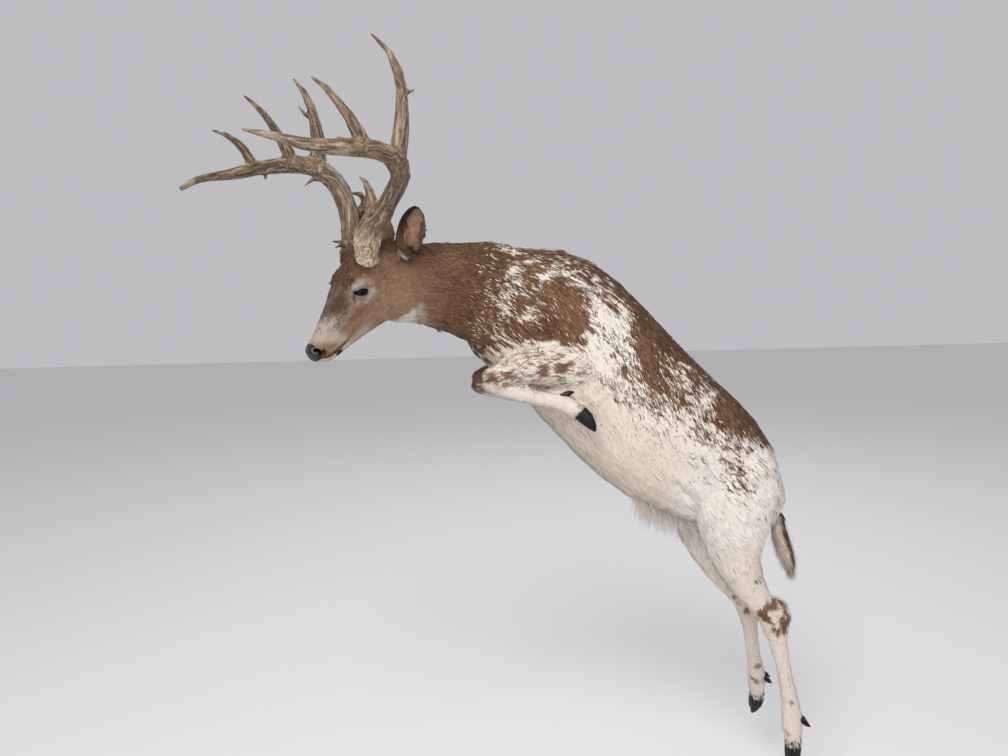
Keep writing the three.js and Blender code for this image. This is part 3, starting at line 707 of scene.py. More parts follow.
# centre and radius in millimetres of the brown spots on the legs
SPOTS = [
    (345, -360, -584, 19), (320, -360, -606, 19), (333, -360, -622, 16), (385, -350, -609, 19),
    (380, -350, -630, 23), (380, -350, -652, 19), (404, -330, -628, 22), (355, -360, -661, 7),
    (369, -360, -682, 5), (402, -350, -800, 6), (392, -350, -875, 6), (407, -350, -874, 5),
    (306, -360, -513, 8), (399, -350, -966, 6), (-392, -385, 58, 13), (-349, -385, 61, 13),
    (-375, -385, 48, 10), (-252, -385, 68, 18), (-207, -385, 73, 17), (-187, -385, 84, 16),
    (-440, -130, 30, 44), (371, -150, -868, 9), (357, -130, -924, 8), (376, -130, -928, 12),
    (237, -215, -562, 9), (271, -215, -611, 9), (300, -215, -646, 10), (317, -215, -664, 9),
    (254, -215, -586, 8), (286, -215, -628, 9), (398, -335, -602, 13), (376, -340, -590, 12),
    (-405, -395, 48, 15),
]


def brown_field(place, streak):
    """Millimetres inside (positive) or outside the brown of the trunk and neck."""
    s, h = place.s * 1000, place.h

    def spot(radius, along, height, tall=150, wide=1.0):
        return radius - np.hypot((s - along) / wide, (h - height) * tall)

    column = np.interp(h, [-0.5, -0.3, -0.07, 0.18, 0.47, 0.67, 1.0], [338, 333, 324, 308, 304, 284, 262])
    neck = column - 1 - s
    under = np.interp(s, [340, 366, 398, 436, 482, 513, 560], [-0.5, -0.42, -0.3, -0.2, -0.22, -0.04, 0.45])
    back_edge = np.interp(h, [-0.2, 0.1, 0.35, 0.45, 0.6, 0.75, 0.9, 1.0],
                          [508, 522, 526, 506, 474, 446, 425, 415])
    shoulder = np.minimum.reduce([
        s - column - np.interp(h, [-0.3, 0.2, 0.5, 0.8], [4, 6, 5, 7]),
        (h - under) * BARREL,
        back_edge - s,
        (1.0 - h) * 260,
    ])
    tongue = np.maximum.reduce([
        spot(13, 404, 0.78, 220, 3.4), spot(3, 368, 0.57), spot(5, 370, 0.09, 150 / 1.4, 1.4)])
    shoulder = np.minimum(shoulder + 10, -tongue)
    saddle_foot = np.interp(
        s, [480, 560, 620, 660, 700, 740, 780, 820, 860, 887, 910, 956, 1000, 1060, 1110, 1140],
        [0.9, 0.74, 0.42, 0.26, 0.16, 0.25, 0.34, 0.4, 0.4, 0.36, 0.48, 0.42, 0.55, 0.67, 0.82, 1.2])
    saddle_front = np.interp(h, [0.2, 0.4, 0.5, 0.6, 0.77, 0.82, 0.9, 1.0],
                             [672, 655, 622, 606, 568, 534, 512, 450])
    saddle = np.minimum.reduce([s - saddle_front, (h - saddle_foot) * BARREL, 1132 - s])
    saddle = np.where((saddle < 0) & (s > 600), saddle * 0.5, saddle * np.where(saddle < 0, 0.7, 1))
    rise = h - 0.68
    rise = rise * np.where(rise > 0, 260, 120)
    gap = np.maximum(14 - np.hypot(s - 868, rise) / 1.6, 10 - np.hypot(s - 790, rise) / 1.8)
    haunch = np.maximum.reduce([spot(14, 1070, 0.3), spot(12, 1096, 0.04), spot(9, 1046, 0.42)]) - 6
    dapple = np.minimum.reduce([s - 340, 545 - s, (h - 0.66) * 200, 7 + 0 * s, 6 - tongue])
    field = np.maximum.reduce([neck, shoulder, np.minimum(saddle, -gap), haunch, dapple])
    return field + cloud(streak, (62, 28, 62), 3) * 12 + noise(streak, (30, 9, 30), 6) * 17 \
        + noise(streak, (13, 4.2, 13), 5) * 24


def coat_colors(place, roll):
    """The coat's colour at each point. roll is a number from 0 to 1 that tells one tuft from the next."""
    p, q, s, h = place.p / MM, place.q, place.s, place.h
    arc = h * 200
    second, third = (roll * 17.3) % 1, (roll * 41.7) % 1
    shade = (0.95 + 0.09 * third)[:, None]
    streak = np.stack([s * 1000 + 0.25 * arc, arc - 0.25 * s * 1000, np.where(place.left, 0, 900) + 0 * s], 1)

    # the two coats
    agouti = 1.1 * (roll - 0.5) + 0.3 * noise(p, 5, 21) + 0.26 * noise(p, 60, 22)
    brown = painted(mix(BROWN, DARK_BROWN, np.clip(0.3 - agouti, 0, 1)),
                    (TAN, np.clip(agouti * 1.3 - 0.14, 0, 0.85)), (0.8, step_up(h, 0.6, 1.0)))
    thigh = np.maximum(*(fall(place.limb[n][2], 1.3, 2.3) for n in ("hind_left", "hind_right")))
    low = np.clip(fall(h, -0.35, 0.35) - thigh, 0, 1)
    white = painted(WHITE, (CREAM, 0.85 * low), (BUFF, fall(h, -1.0, -0.5) * 0.55 * (1 - thigh))) * shade

    # where the brown breaks up into white
    field = brown_field(place, streak) + 26 * (roll - 0.5)
    clump = np.clip(1 + 1.6 * noise(streak, (55, 30, 55), 10), 0.1, 2.5)
    chance = (0.008 + 0.75 * np.exp(-np.maximum(-field, 0) / 18)) * clump * (1 - 0.8 * fall(h, -0.7, -0.2))
    chance = chance + 0.17 * bell(s - 0.57, 0.05) * step_up(h, -0.25, 0.2) * clump
    chance = chance + 0.05 * step_up(s, 0.97, 1.06) * clump * step_up(h, -0.5, 0.2)
    tick = mix(mix(DARK_BROWN, BROWN, roll), GRIZZLE, 0.5 * third)
    grain = noise(streak, (11, 3.6, 11), 9)
    ticked = 0.85 * ((second < chance) & (grain > -0.15)) + 0.4 * step_up(grain, 0.76, 0.82) * (chance > 0.05)
    fleck = 0.24 * np.exp(-np.maximum(field, 0) / 12) * step_up(s, 0.15, 0.25) + 0.006 * step_up(s, 0.22, 0.3)
    fleck = fleck + 0.13 * step_up(s, 0.21, 0.29) * fall(s, 0.32, 0.35) * fall(h, 0.3, 0.95)
    pale = (second < fleck * np.clip(1 + 1.2 * noise(streak, (40, 20, 40), 12), 0, 2.2)) & (field > 0)
    crest = np.hypot(s - 0.3, (h - 1.02) * 0.35) + 0.03 * noise(streak, (18, 8, 18), 13)
    color = painted(white, (tick, ticked), (brown, step_up(field, -2, 2)),
                    (white, 0.9 * pale * step_up(s, 0.12, 0.2)),
                    (mix(brown, TAN * 0.9, 0.35 + 0.4 * fall(h, -0.6, 0.2)), fall(s, 0.1, 0.24) * 0.55),
                    (white, fall(crest, 0.05, 0.075) * step_up(h, 0.93, 0.98)))

    # the legs and their spots
    leg_white = mix(CREAM, WHITE, 0.3 + 0.3 * roll) * shade
    hock = bell(np.hypot(p[:, 0] - 350, p[:, 2] + 650), 45) * place.left
    leg_chance = (0.008 + 0.07 * hock) * np.clip(1 + 2.2 * noise(p, (30, 30, 45), 32), 0, 3)
    mottle = cloud(p, (30, 30, 12), 33) + 1.1 * (roll - 0.5) + 0.3 * noise(p, (9, 9, 4), 35)
    leg = painted(leg_white, (mix(tick, BROWN, 0.4), 0.8 * (second < leg_chance)),
                  (mix(mix(DARK_BROWN, BROWN, third), TAN, 0.5 * second),
                   step_up(mottle, 0.16, 0.26) * place.part_of_any("arm_left", "arm_right") * 0.8))
    for cx, cy, cz, r in SPOTS:
        away = np.linalg.norm(p - (cx, cy, cz), axis=1)
        near = np.flatnonzero(away < r + 16)
        ragged = (0.62 * r + 2) * noise(p[near], (20, 12, 7) if cx < 0 else (11, 11, 16), 34)
        away = away[near] + ragged + 12 * (roll[near] - 0.5)
        tone = mix(mix(BROWN, RUFOUS, 0.3 + 0.5 * second[near]), DARK_BROWN, 0.4 * third[near])
        leg[near] = mix(leg[near], tone, fall(away, r - 2, r + 2) * 0.9)

    # the tail: brown behind, white along its edges and inside
    t, part, _ = place.limb["tail"]
    off = (place.p - middle_of("tail", part)[0]) * 1000
    behind = (off * np.cross(t, (0.0, 1.0, 0.0))).sum(1)
    beside = np.maximum(np.abs(off[:, 1]) - 8, 0)
    outer = behind - 0.45 * beside + 6 * noise(p, (7, 7, 40), 36) + 9 * (roll - 0.5)
    tone = mix(mix(leg_white, PALE_TAN, 0.6), mix(BROWN, DARK_BROWN, second), step_up(outer, -8, -2))
    tail = mix(leg_white, tone, step_up(outer, -15, -8) * fall(part, 0.75, 0.95))

    face = step_up(q[:, 0] + 8 * noise(p, 14, 52), -190, -75) * fall(s, 0.03, 0.14)
    return painted(color, (leg, step_up(place.part_of_any(*LEGS), 0.35, 0.75)), (tail, place.part_of("tail")),
                   (head_colors(place, roll), face), (ear_colors(place, roll), place.ear))


def head_colors(place, roll):
    """Colours over the face, from crown to chin."""
    q = place.q
    x, y, z = q.T
    ay = np.abs(y)
    grain = noise(q, (5, 2.2, 2.2), 41) * 0.6 + noise(q, (12, 4.5, 4.5), 48) * 0.45 + (roll - 0.5) * 1.3
    wobble = cloud(q, 26, 42)

    def by(points, ragged=0.0, grained=0.0):
        """Distance from a line, made uneven."""
        return to_line(x, z, points) - ragged * wobble - grained * grain

    top = np.interp(x, [-120, -60, -20, 20, 60, 100, 140, 170], [30, 40, 34, 20, 6, -8, -20, -28])
    crown = step_up(z - top + 10 * wobble, -4, 8)
    dark = mix(DARK_BROWN, mix(BROWN, TAN, 0.25), np.clip(0.5 + 0.8 * grain, 0, 1))
    frosted = np.clip(0.3 + 0.006 * (x - 70) + 0.7 * grain + 0.35 * cloud(q, (30, 14, 14), 45), 0, 1)
    silver = painted(DARK_BROWN, (SILVER, frosted),
                     (TAN, np.clip(0.3 - 0.006 * (z + 10) + 0.3 * (roll - 0.5), 0, 1)))
    edge = z - np.interp(x, [20, 60, 110, 150], [4, -32, -44, -30]) + 12 * wobble + 9 * grain
    frost = np.hypot((x - 124) / 1.5, z + 10) - 9 * wobble - 14 * grain
    rufous = np.hypot((x + 34) / 1.5, z - 36) - 8 * wobble
    rho, b = lid_place(x, z)
    ring = np.hypot((x + 5) / 1.15, z - 1) - 5 * wobble - 10 * grain - 4 * (b < 0)
    chin = fall(z - np.interp(x, [60, 109, 144, 161, 190], [-76, -72, -71, -69, -50]), -3, 0)
    jaw = fall(z, -80, -62) * step_up(x, 20, 60)
    throat = fall(z - 5 * grain, -124, -112) * fall(x, 0, 30) * step_up(x + 6 * grain, -96, -74)
    lip = np.hypot((x - 139) / 1.5, z + 76) + 2 * wobble - 2 * grain
    # the pad mottles at random between black and grey, and turns grey toward its front, which is a painted
    # highlight
    pad = mix(PAD_BLACK, PAD_GREY, np.clip(0.2 + 0.4 * noise(q, 4, 46) + 0.4 * step_up(x, 180, 192), 0, 1))
    slit = by(NOSTRIL)
    return painted(
        mix(TAN, BROWN, np.clip(0.3 + 1.1 * grain + 0.5 * wobble, -0.3, 1.2)),
        (PALE_TAN, 0.1 + fall(z, -90, -30) * 0.4),
        (dark, crown * fall(x, 10, 60)),
        (silver, step_up(x + 10 * grain, 18, 50) * step_up(edge, -14, 14)),
        # a dusky streak before the eye, the frosted bridge, the rufous brow and the pale ring round the eye
        (DARK_BROWN, bell(by([(34, 20), (50, 15), (76, 10)]), 13) * np.clip(0.62 + 0.4 * grain, 0, 1)
         * step_up(ay, 6, 14)),
        (mix(SILVER, WHITE, 0.35), fall(frost, 6, 24) * 0.75),
        (mix(RUFOUS, BROWN, 0.3 + 0.6 * roll), fall(rufous, 8, 22) * step_up(ay, 24, 34) * 0.85),
        (mix(SILVER, mix(TAN, WHITE, 0.55), np.clip(0.5 + 0.9 * grain, 0, 1)),
         fall(ring, 18, 34) * step_up(ay, 30, 40) * 0.8),
        (mix(TAN, PINK, 0.6),
         fall(np.abs(rho - 1.8), 0.2, 0.5) * step_up(b, 0.2, 0.7) * step_up(ay, 36, 42) * 0.45),
        # the pale band behind the nose, the lips, the chin and the throat, with painted shade along the
        # mouth's line and behind its corner
        (mix(mix(CREAM, PINK, 0.5), SILVER, np.clip(0.3 + 0.9 * grain, 0, 0.8)),
         fall(by([(160, -6), (140, -22), (118, -44), (98, -58)], 5, 7), 9, 20)
         * step_up(x + 8 * grain, 88, 112) * 0.74),
        # painted shade: a dark line along the mouth's crease
        (mix(TAN, DARK_BROWN, 0.3 + 0.5 * roll),
         fall(by([(170, -50), (150, -64), (104, -70)], 2, 2), 2, 5) * step_up(ay, 4, 8) * 0.8),
        (DARK_BROWN * 0.8, fall(by([(178, -44), (167, -44)], 3, 2), 5, 9) * step_up(ay, 4, 8)),
        (mix(mix(BUFF, SILVER, 0.4), CREAM, roll), np.maximum(chin * step_up(x, 90, 110), jaw * 0.55)),
        (mix(WHITE, CREAM, roll), throat),
        (DARK_BROWN * 0.7, fall(lip, 5, 9) * step_up(ay, 12, 18)),
        # painted shade: a dimmed line in the fold behind the mouth's corner
        (0.72, bell(by([(104, -66), (60, -60)]), 4) * step_up(ay, 14, 20)),
        # the nose and nostrils, with painted highlights on the nose's front and the nostrils' wings and
        # painted shade in their openings, then the tear duct and the lids' edges
        (pad, nose_pad(q)),
        # a painted highlight along the nostril's wing
        (SILVER * 0.8, bell(slit - 6.5, 1.6) * step_up(z, -40, -34) * step_up(ay, 7, 11) * 0.35),
        # painted shade: the nostril's opening darkened
        (BLACK * 0.3, fall(slit, 3.4, 5.0) * step_up(ay, 5, 9)),
        (BLACK, fall(by(TEAR), 1.0, 2.0) * step_up(ay, 36, 44) * 0.9),
        (BLACK, fall(rho, 1.06, 1.16) * step_up(ay, 36, 42)))


def nose_pad(q):
    """1 on the bare skin of the nose."""
    x, _, z = q.T
    edge = np.interp(z, [-56, -50, -44, -36, -26, -16, -6], [191, 183, 178, 172, 170, 171, 178])
    edge = edge + 1.2 * noise(q, 6, 44)
    return step_up(x - edge, -1.5, 1.5) * step_up(z, -55, -51)


def ear_out(name):
    """The direction out of an ear's opening."""
    return HEAD @ unit(np.array([-0.3, 0.95 * side_of(name), 0.05]))


def ear_frame(place, name):
    """How far toward the ear's front edge, over its local radius, and 1 inside the cup."""
    t, part, _ = place.limb[name]
    middle, size = middle_of(name, part)
    off = place.p - middle
    face = ear_out(name)
    ahead = -side_of(name) * unit(np.cross(t, face))
    inside = fall(((off - 0.7 * size[:, None] * face) * place.normal).sum(1) / size, -0.15, 0.1)
    return (off * ahead).sum(1) / size, inside


def ear_rim(part, ahead, inside):
    """1 along the pale front edge of the ear's opening."""
    return step_up(ahead, 0.8, 0.9) * fall(ahead, 1.02, 1.12) * inside * fall(part, 0.5, 0.66)


def ear_colors(place, roll):
    p = place.p / MM
    color = np.broadcast_to(BROWN, p.shape)
    grain = noise(p, (9, 9, 9), 47)
    for name in ("ear_left", "ear_right"):
        part = place.limb[name][1]
        ahead, inside = ear_frame(place, name)
        back = painted(mix(BROWN, TAN, 0.4 * roll),
                       (GRIZZLE, np.clip(0.35 + 0.6 * (roll - 0.5) + 0.3 * grain, 0, 1)),
                       (BLACK, 0.8 * step_up(part + 0.16 * ahead, 0.5, 0.95)))
        hollow = np.hypot((part - 0.4) / 0.32, (ahead - 0.08) / 0.44) + 0.3 * grain
        inner = painted(
            mix(mix(TAN, RUFOUS, 0.4), EAR_TAN, np.clip(0.8 + 0.8 * (roll - 0.5) + 0.5 * grain, 0, 1.1)),
            (DARK_BROWN, 0.75 * fall(hollow, 0.4, 1.1)),
            (mix(GRIZZLE, SILVER, 0.3 + 0.7 * roll), 0.75 * step_up(part + 0.06 * grain, 0.55, 0.72)),
            (DARK_BROWN, 0.7 * fall(ahead, -1.2, -1.05)), (BLACK, 0.7 * step_up(part, 0.9, 1.0)))
        shown = painted(back, (inner, inside),
                        (mix(WHITE, SILVER, 0.4 * roll), ear_rim(part, ahead, inside) * 0.85),
                        (mix(TAN, PALE_TAN, roll), fall(part, 0.0, 0.14) * 0.7))
        color = np.where(place.part_of(name)[:, None] > 0, shown, color)
    return color


# ------------------------------------------------------------------ materials
def material(name, roughness, **settings):
    made = bpy.data.materials.new(name)
    made.use_nodes = True
    shader = made.node_tree.nodes["Principled BSDF"]
    for key, value in {"Roughness": roughness, **settings}.items():
        shader.inputs[key.replace("_", " ")].default_value = value
    return made, made.node_tree, shader


def feed(tree, socket, value):
    """Links a socket to another's output, or sets it."""
    if isinstance(value, bpy.types.NodeSocket):
        tree.links.new(value, socket)
    else:
        socket.default_value = value


def add(tree, kind, options=None, **inputs):
    node = tree.nodes.new(kind)
    for key, value in (options or {}).items():
        setattr(node, key, value)
    for key, value in inputs.items():
        feed(tree, node.inputs[key.replace("_", " ")], value)
    return node


def attribute(tree, name, output="Vector"):
    return add(tree, "ShaderNodeAttribute", {"attribute_name": name}).outputs[output]


def position(tree):
    return add(tree, "ShaderNodeNewGeometry").outputs["Position"]


def remap(tree, value, low, high, from_low=0.0, from_high=1.0):
    return add(tree, "ShaderNodeMapRange", Value=value, From_Min=from_low, From_Max=from_high, To_Min=low,
               To_Max=high).outputs["Result"]


def blend(tree, share, first, second):
    node = add(tree, "ShaderNodeMix", Factor=share)
    feed(tree, node.inputs[2], first)
    feed(tree, node.inputs[3], second)
    return node.outputs[0]


def noise_from(tree, vector, scale, low, high, detail=2.0, stretch=(1, 1, 1)):
    """A noise texture's value, mapped from its middle range to low and high."""
    place = add(tree, "ShaderNodeMapping", Vector=vector, Scale=stretch)
    grain = add(tree, "ShaderNodeTexNoise", Vector=place.outputs["Vector"], Scale=scale, Detail=detail)
    return remap(tree, grain.outputs["Fac"], low, high, 0.3, 0.7)


def tinted(tree, shader, factor, color=None):
    """Sets the colour, the Coat attribute if no other is given, made lighter and darker by a factor."""
    made = add(tree, "ShaderNodeVectorMath", {"operation": "SCALE"}, Scale=factor,
               Vector=attribute(tree, "Coat", "Color") if color is None else color)
    feed(tree, shader.inputs["Base Color"], made.outputs["Vector"])


def bumped(tree, shader, height, distance, strength=1.0):
    made = add(tree, "ShaderNodeBump", Height=height, Distance=distance, Strength=strength)
    feed(tree, shader.inputs["Normal"], made.outputs["Normal"])


def hair_material():
    made, tree, shader = material("hair", 0.66, Specular_IOR_Level=0.16, Sheen_Weight=0.03,
                                  Sheen_Roughness=0.4)
    tinted(tree, shader, noise_from(tree, position(tree), 700, 0.9, 1.1))
    return made


def skin_material():
    made, tree, shader = material("hide", 0.7, Specular_IOR_Level=0.3)
    lie, wet = attribute(tree, "Lie"), attribute(tree, "Wet", "Fac")
    fine = noise_from(tree, lie, 1.0, 0.0, 1.0, 3.0, (0.055, 0.55, 0.55))
    tinted(tree, shader, blend(tree, wet, remap(tree, fine, 0.78, 1.12), 1.0))
    feed(tree, shader.inputs["Roughness"], remap(tree, wet, 0.72, 0.3))
    cells = add(tree, "ShaderNodeTexVoronoi", Vector=lie, Scale=0.75).outputs["Distance"]
    bumped(tree, shader, blend(tree, wet, fine, cells), 0.0006, 0.8)
    return made


def antler_material():
    made, tree, shader = material("antler", 0.46, Specular_IOR_Level=0.4)
    streaks = noise_from(tree, attribute(tree, "Lie"), 1.0, 0.0, 1.0, 4.0, (0.05, 0.5, 0.5))
    pores = noise_from(tree, position(tree), 420, 0.0, 1.0, 3.0)
    grain = blend(tree, attribute(tree, "Clear", "Fac"), pores, streaks)
    tinted(tree, shader, remap(tree, grain, 0.6, 1.36))
    bumped(tree, shader, grain, 0.0010)
    return made


def eye_material():
    made, tree, shader = material("eye", 0.06, Specular_IOR_Level=0.17)
    tinted(tree, shader, noise_from(tree, attribute(tree, "Lie"), 1.0, 0.7, 1.3))
    return made


def horn_material():
    made, tree, shader = material("hoof horn", 0.34, Specular_IOR_Level=0.3)
    at = position(tree)
    tinted(tree, shader, noise_from(tree, at, 130, 0.7, 1.5, 3.0, (1, 1, 0.35)))
    bumped(tree, shader, noise_from(tree, at, 260, 0, 1, 3.0, (0.6, 1, 1)), 0.0005)
    return made


def steel_material():
    made, tree, shader = material("steel", 0.35, Metallic=1.0)
    at = add(tree, "ShaderNodeTexCoord").outputs["Object"]
    grain = noise_from(tree, at, 60, 0.9, 1.1, 4.0, (1, 1, 9))
    tinted(tree, shader, grain, (0.52, 0.53, 0.54))
    feed(tree, shader.inputs["Roughness"], remap(tree, grain, 0.28, 0.46, 0.9, 1.1))
    return made


def wood_material():
    made, tree, shader = material("sawn wood", 0.72)
    at = add(tree, "ShaderNodeTexCoord").outputs["Object"]
    grain = noise_from(tree, at, 110, 0.72, 1.2, 4.0, (1, 1, 0.06))
    tinted(tree, shader, grain, (0.50, 0.36, 0.22))
    bumped(tree, shader, grain, 0.0006)
    return made


# ------------------------------------------------------------------ the skin
def shape_body(co, normal, place):
    """Folds where the legs leave the body."""
    x, z = co[:, 0] / MM, co[:, 2] / MM
    lift = np.zeros(len(co))
    for points, radius, height, low, high in (
            ([(84, -232), (128, -282), (152, -322), (136, -400)], 9, -6.5, 0.4, 0.8),
            ([(104, -232), (150, -280), (176, -322)], 14, 3.0, 0.4, 0.8),
            ([(-122, 10), (-98, 34), (-66, 62)], 8, -4.0, 0.2, 0.5),
            ([(-170, 22), (-166, 52)], 8, -4.0, 0.2, 0.5)):
        flank = np.abs(co[:, 1] - SPINE_Y) / 0.14
        lift += height * bell(to_line(x, z, points), radius) * step_up(flank, low, high)
    return co + normal * (lift * (1 - place.is_head))[:, None] * MM


def atlas(place):
    """Where each point lies on an unwrap of the skin, from the parts' own lengths and girths."""
    lateral = place.p[:, 1] - np.interp(place.s, ALONG, FINE[:, 1])
    turn = np.arctan2(lateral / 0.13, -place.h) / (2 * math.pi) + 0.5
    u = 0.02 + 0.94 * np.clip(place.s / 1.3 + 0.03, 0, 1)
    v = 0.02 + 0.44 * turn
    x, y, z = place.q.T
    around = np.arctan2(y, z + 30) / (2 * math.pi) + 0.5
    on = place.is_head > 0.5
    u = np.where(on, 0.02 + 0.34 * np.clip((x + 160) / 360, 0, 1), u)
    v = np.where(on, 0.50 + 0.22 * around, v)
    for k, name in enumerate(PATHS):
        t, part, _ = place.limb[name]
        centres = PATHS[name][0]
        last = len(centres) - 1
        away = place.p - centres[np.clip((part * last).round().astype(int), 0, last)]
        around = np.arctan2((away * np.cross(t, (0, 1, 0))).sum(1), away[:, 1]) / (2 * math.pi) + 0.5
        row, column = divmod(k, 3)
        on = place.part_of(name) > 0.5
        u = np.where(on, 0.40 + 0.20 * column + 0.18 * np.clip(part, 0, 1), u)
        v = np.where(on, 0.50 + 0.16 * row + 0.14 * around, v)
    return np.stack([u, v], 1)


def lie_of(place):
    """Millimetres along and across the lie of the hair, for streaks in the hide."""
    p = place.p / MM
    across, along = place.h * BARREL, place.s * 1000
    out = np.stack([along - 0.25 * across, across + 0.25 * along, p[:, 1] * 0.3], 1)
    out = np.where(place.is_head[:, None] > 0.5, place.q, out)
    return np.where(place.part_of_any(*PATHS)[:, None] > 0.5, p[:, [2, 0, 1]], out)


def make_skin():
    co, tri = joined_skin()
    place = Place(co)
    co = co - normals_of(co, tri) * coat_depth(place)[:, None]
    normal = normals_of(co, tri)
    co = shape_body(shape_face(co, normal), normal, place)
    place = Place(co, normals_of(co, tri))
    color = coat_colors(place, 0.5 + 0.35 * noise(co / MM, 2.5, 51))
    x, y, z = place.q.T
    # painted shade: the bare skin darkened in the nostrils and along the mouth's line
    hollow = 0.6 * bell(to_line(x, z, NOSTRIL), 2.6) * place.is_head
    mouth_line_shade = 0.85 * bell(to_line(x, z, MOUTH), 2.2) * place.is_head
    color = color * (1 - np.maximum(hollow, mouth_line_shade))[:, None]
    wet = np.maximum(nose_pad(place.q), fall(lid_place(x, z)[0], 1.05, 1.2) * (np.abs(y) > 38) * 0.9)
    sheets = [(co, tri, color, wet, lie_of(place))]
    count = len(co)
    for side in (1, -1):
        ring, faces = tube(lid_ring(side), 1.05, 8)
        at = from_head(ring)
        black = np.broadcast_to(BLACK, at.shape)
        sheets.append((at, outward(at, faces) + count, black, np.full(len(at), 0.85), ring))
        count += len(at)
    all_co, all_tri, colors, wet, lie = (np.concatenate(each) for each in zip(*sheets))
    skin = build("hide", all_co, all_tri, skin_material(), colors, normals_of(all_co, all_tri),
                 extra=(("Wet", wet), ("Lie", lie)))
    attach(skin, "root")
    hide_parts(*FLESH)
    return co, tri, place


# ------------------------------------------------------------------ the coat
def coat_shape(place):
    """Tufts' length and width in millimetres, lift over length, and number to a square millimetre."""
    x, _, z = place.q.T
    s, h = place.s, place.h
    length = 18 + 5 * step_up(s, 0.15, 0.45) + 6 * fall(h, -0.8, -0.2) + 4 * step_up(s, 0.9, 1.1)
    lift = 0.10 + 0.04 * step_up(np.abs(h), 0.8, 1.0)
    face = 10.5 - 5.5 * step_up(x, -10, 110) - 1.6 * step_up(x, 120, 165) + 5 * fall(z, -130, -90)
    face = face - 3.5 * np.exp(-((np.hypot(x - 1, z - 2) / 26) ** 4))
    length = length + (face - length) * place.is_head
    lift = lift + (0.15 - lift) * place.is_head
    width = length * (0.092 + 0.058 * place.is_head)
    cover = 2.6 - 0.2 * place.is_head
    for name in PATHS:
        part, on = place.limb[name][1], place.part_of(name)
        raised, slim, dense = 0, 0.135, 2.3
        if name.startswith("hind"):
            own = 24 - 12 * step_up(part, 0.25, 0.6) - 3.5 * step_up(part, 0.7, 0.9) \
                + 7 * step_up(part, 0.94, 0.99)
            raised = 0.16 * step_up(part, 0.93, 0.98)
        elif name.startswith("ear"):
            own, raised = 6, -0.07
        elif name == "tail":
            own, slim, dense = 30 - 12 * step_up(part, 0.55, 1.0), 0.085, 3.6
        elif name.startswith("arm"):
            own = 18 - 6 * step_up(part, 0.4, 1.0)
        else:
            own = 10 - 2 * step_up(part, 0.4, 0.9) + 7 * step_up(part, 0.9, 0.97)
            raised = 0.16 * step_up(part, 0.9, 0.96)
        length = length + (own - length) * on
        lift = lift + raised * on
        width = width + (own * slim - width) * on
        cover = cover + (dense - cover) * on
    return length, width, lift, cover * 2 / (length * width)


BLOCK_BARE = (68, 90)                # half the width and height of the patch at the hanger's block
BLOCK_REACH = 150                    # of that patch, out from the wall's side


def bare(p):
    """True where no hair grows: nose, lips, nostrils, eyelid edges, and against the hanger block."""
    q = in_head(p)
    x, y, z = q.T
    on = (x > -100) & (p[:, 0] < -0.5)
    out = on & (nose_pad(q) > 0.4)
    out |= on & (lid_place(x, z)[0] < 1.2) & (np.abs(y) > 36)
    out |= on & (to_line(x, z, NOSTRIL) < 4.6) & (np.abs(y) > 5)
    out |= on & (to_line(x, z, MOUTH) < 2.4)
    out |= on & (to_line(x, z, TEAR) < 2.0) & (np.abs(y) > 36)
    w = np.abs(p / MM)
    return out | (w[:, 0] < BLOCK_BARE[0]) & (w[:, 2] < BLOCK_BARE[1]) & (p[:, 1] / MM > -BLOCK_REACH)


def scatter(co, tri, weight, count):
    """Points over a surface with their normals, more where weight is greater."""
    area = np.linalg.norm(face_normals(co, tri), axis=1) * weight[tri].mean(1)
    run = np.cumsum(area)
    at = np.searchsorted(run, (np.arange(count) + rng.random(count)) / count * run[-1])
    a, b = rng.random((2, count))
    over = a + b > 1
    a, b = np.where(over, 1 - a, a), np.where(over, 1 - b, b)
    corners, share = tri[at], np.stack([1 - a - b, a, b], 1)[..., None]
    return (co[corners] * share).sum(1), unit((normals_of(co, tri)[corners] * share).sum(1))


TUFT_FACES = np.array([[0, 1, 3], [1, 2, 3], [0, 2, 1], [0, 3, 2]])   # root, left, tip, right
PATCH = 0.003                        # of the unwrap, for one tuft
TUFT_PATCH = PATCH * np.array([[0, 0], [0, 1], [1, 1], [1, 0]])
MOST_TUFTS, MOST_QUICK_TUFTS = 345000, 60000
TUFTS_PER_PIECE = 48000
ROOT_DEPTH = 0.0006                  # of a tuft's root in the skin
FRONT_END = 0.28                     # along the spine: before it the trunk's hair goes in the front group, listed with the brown slot's name
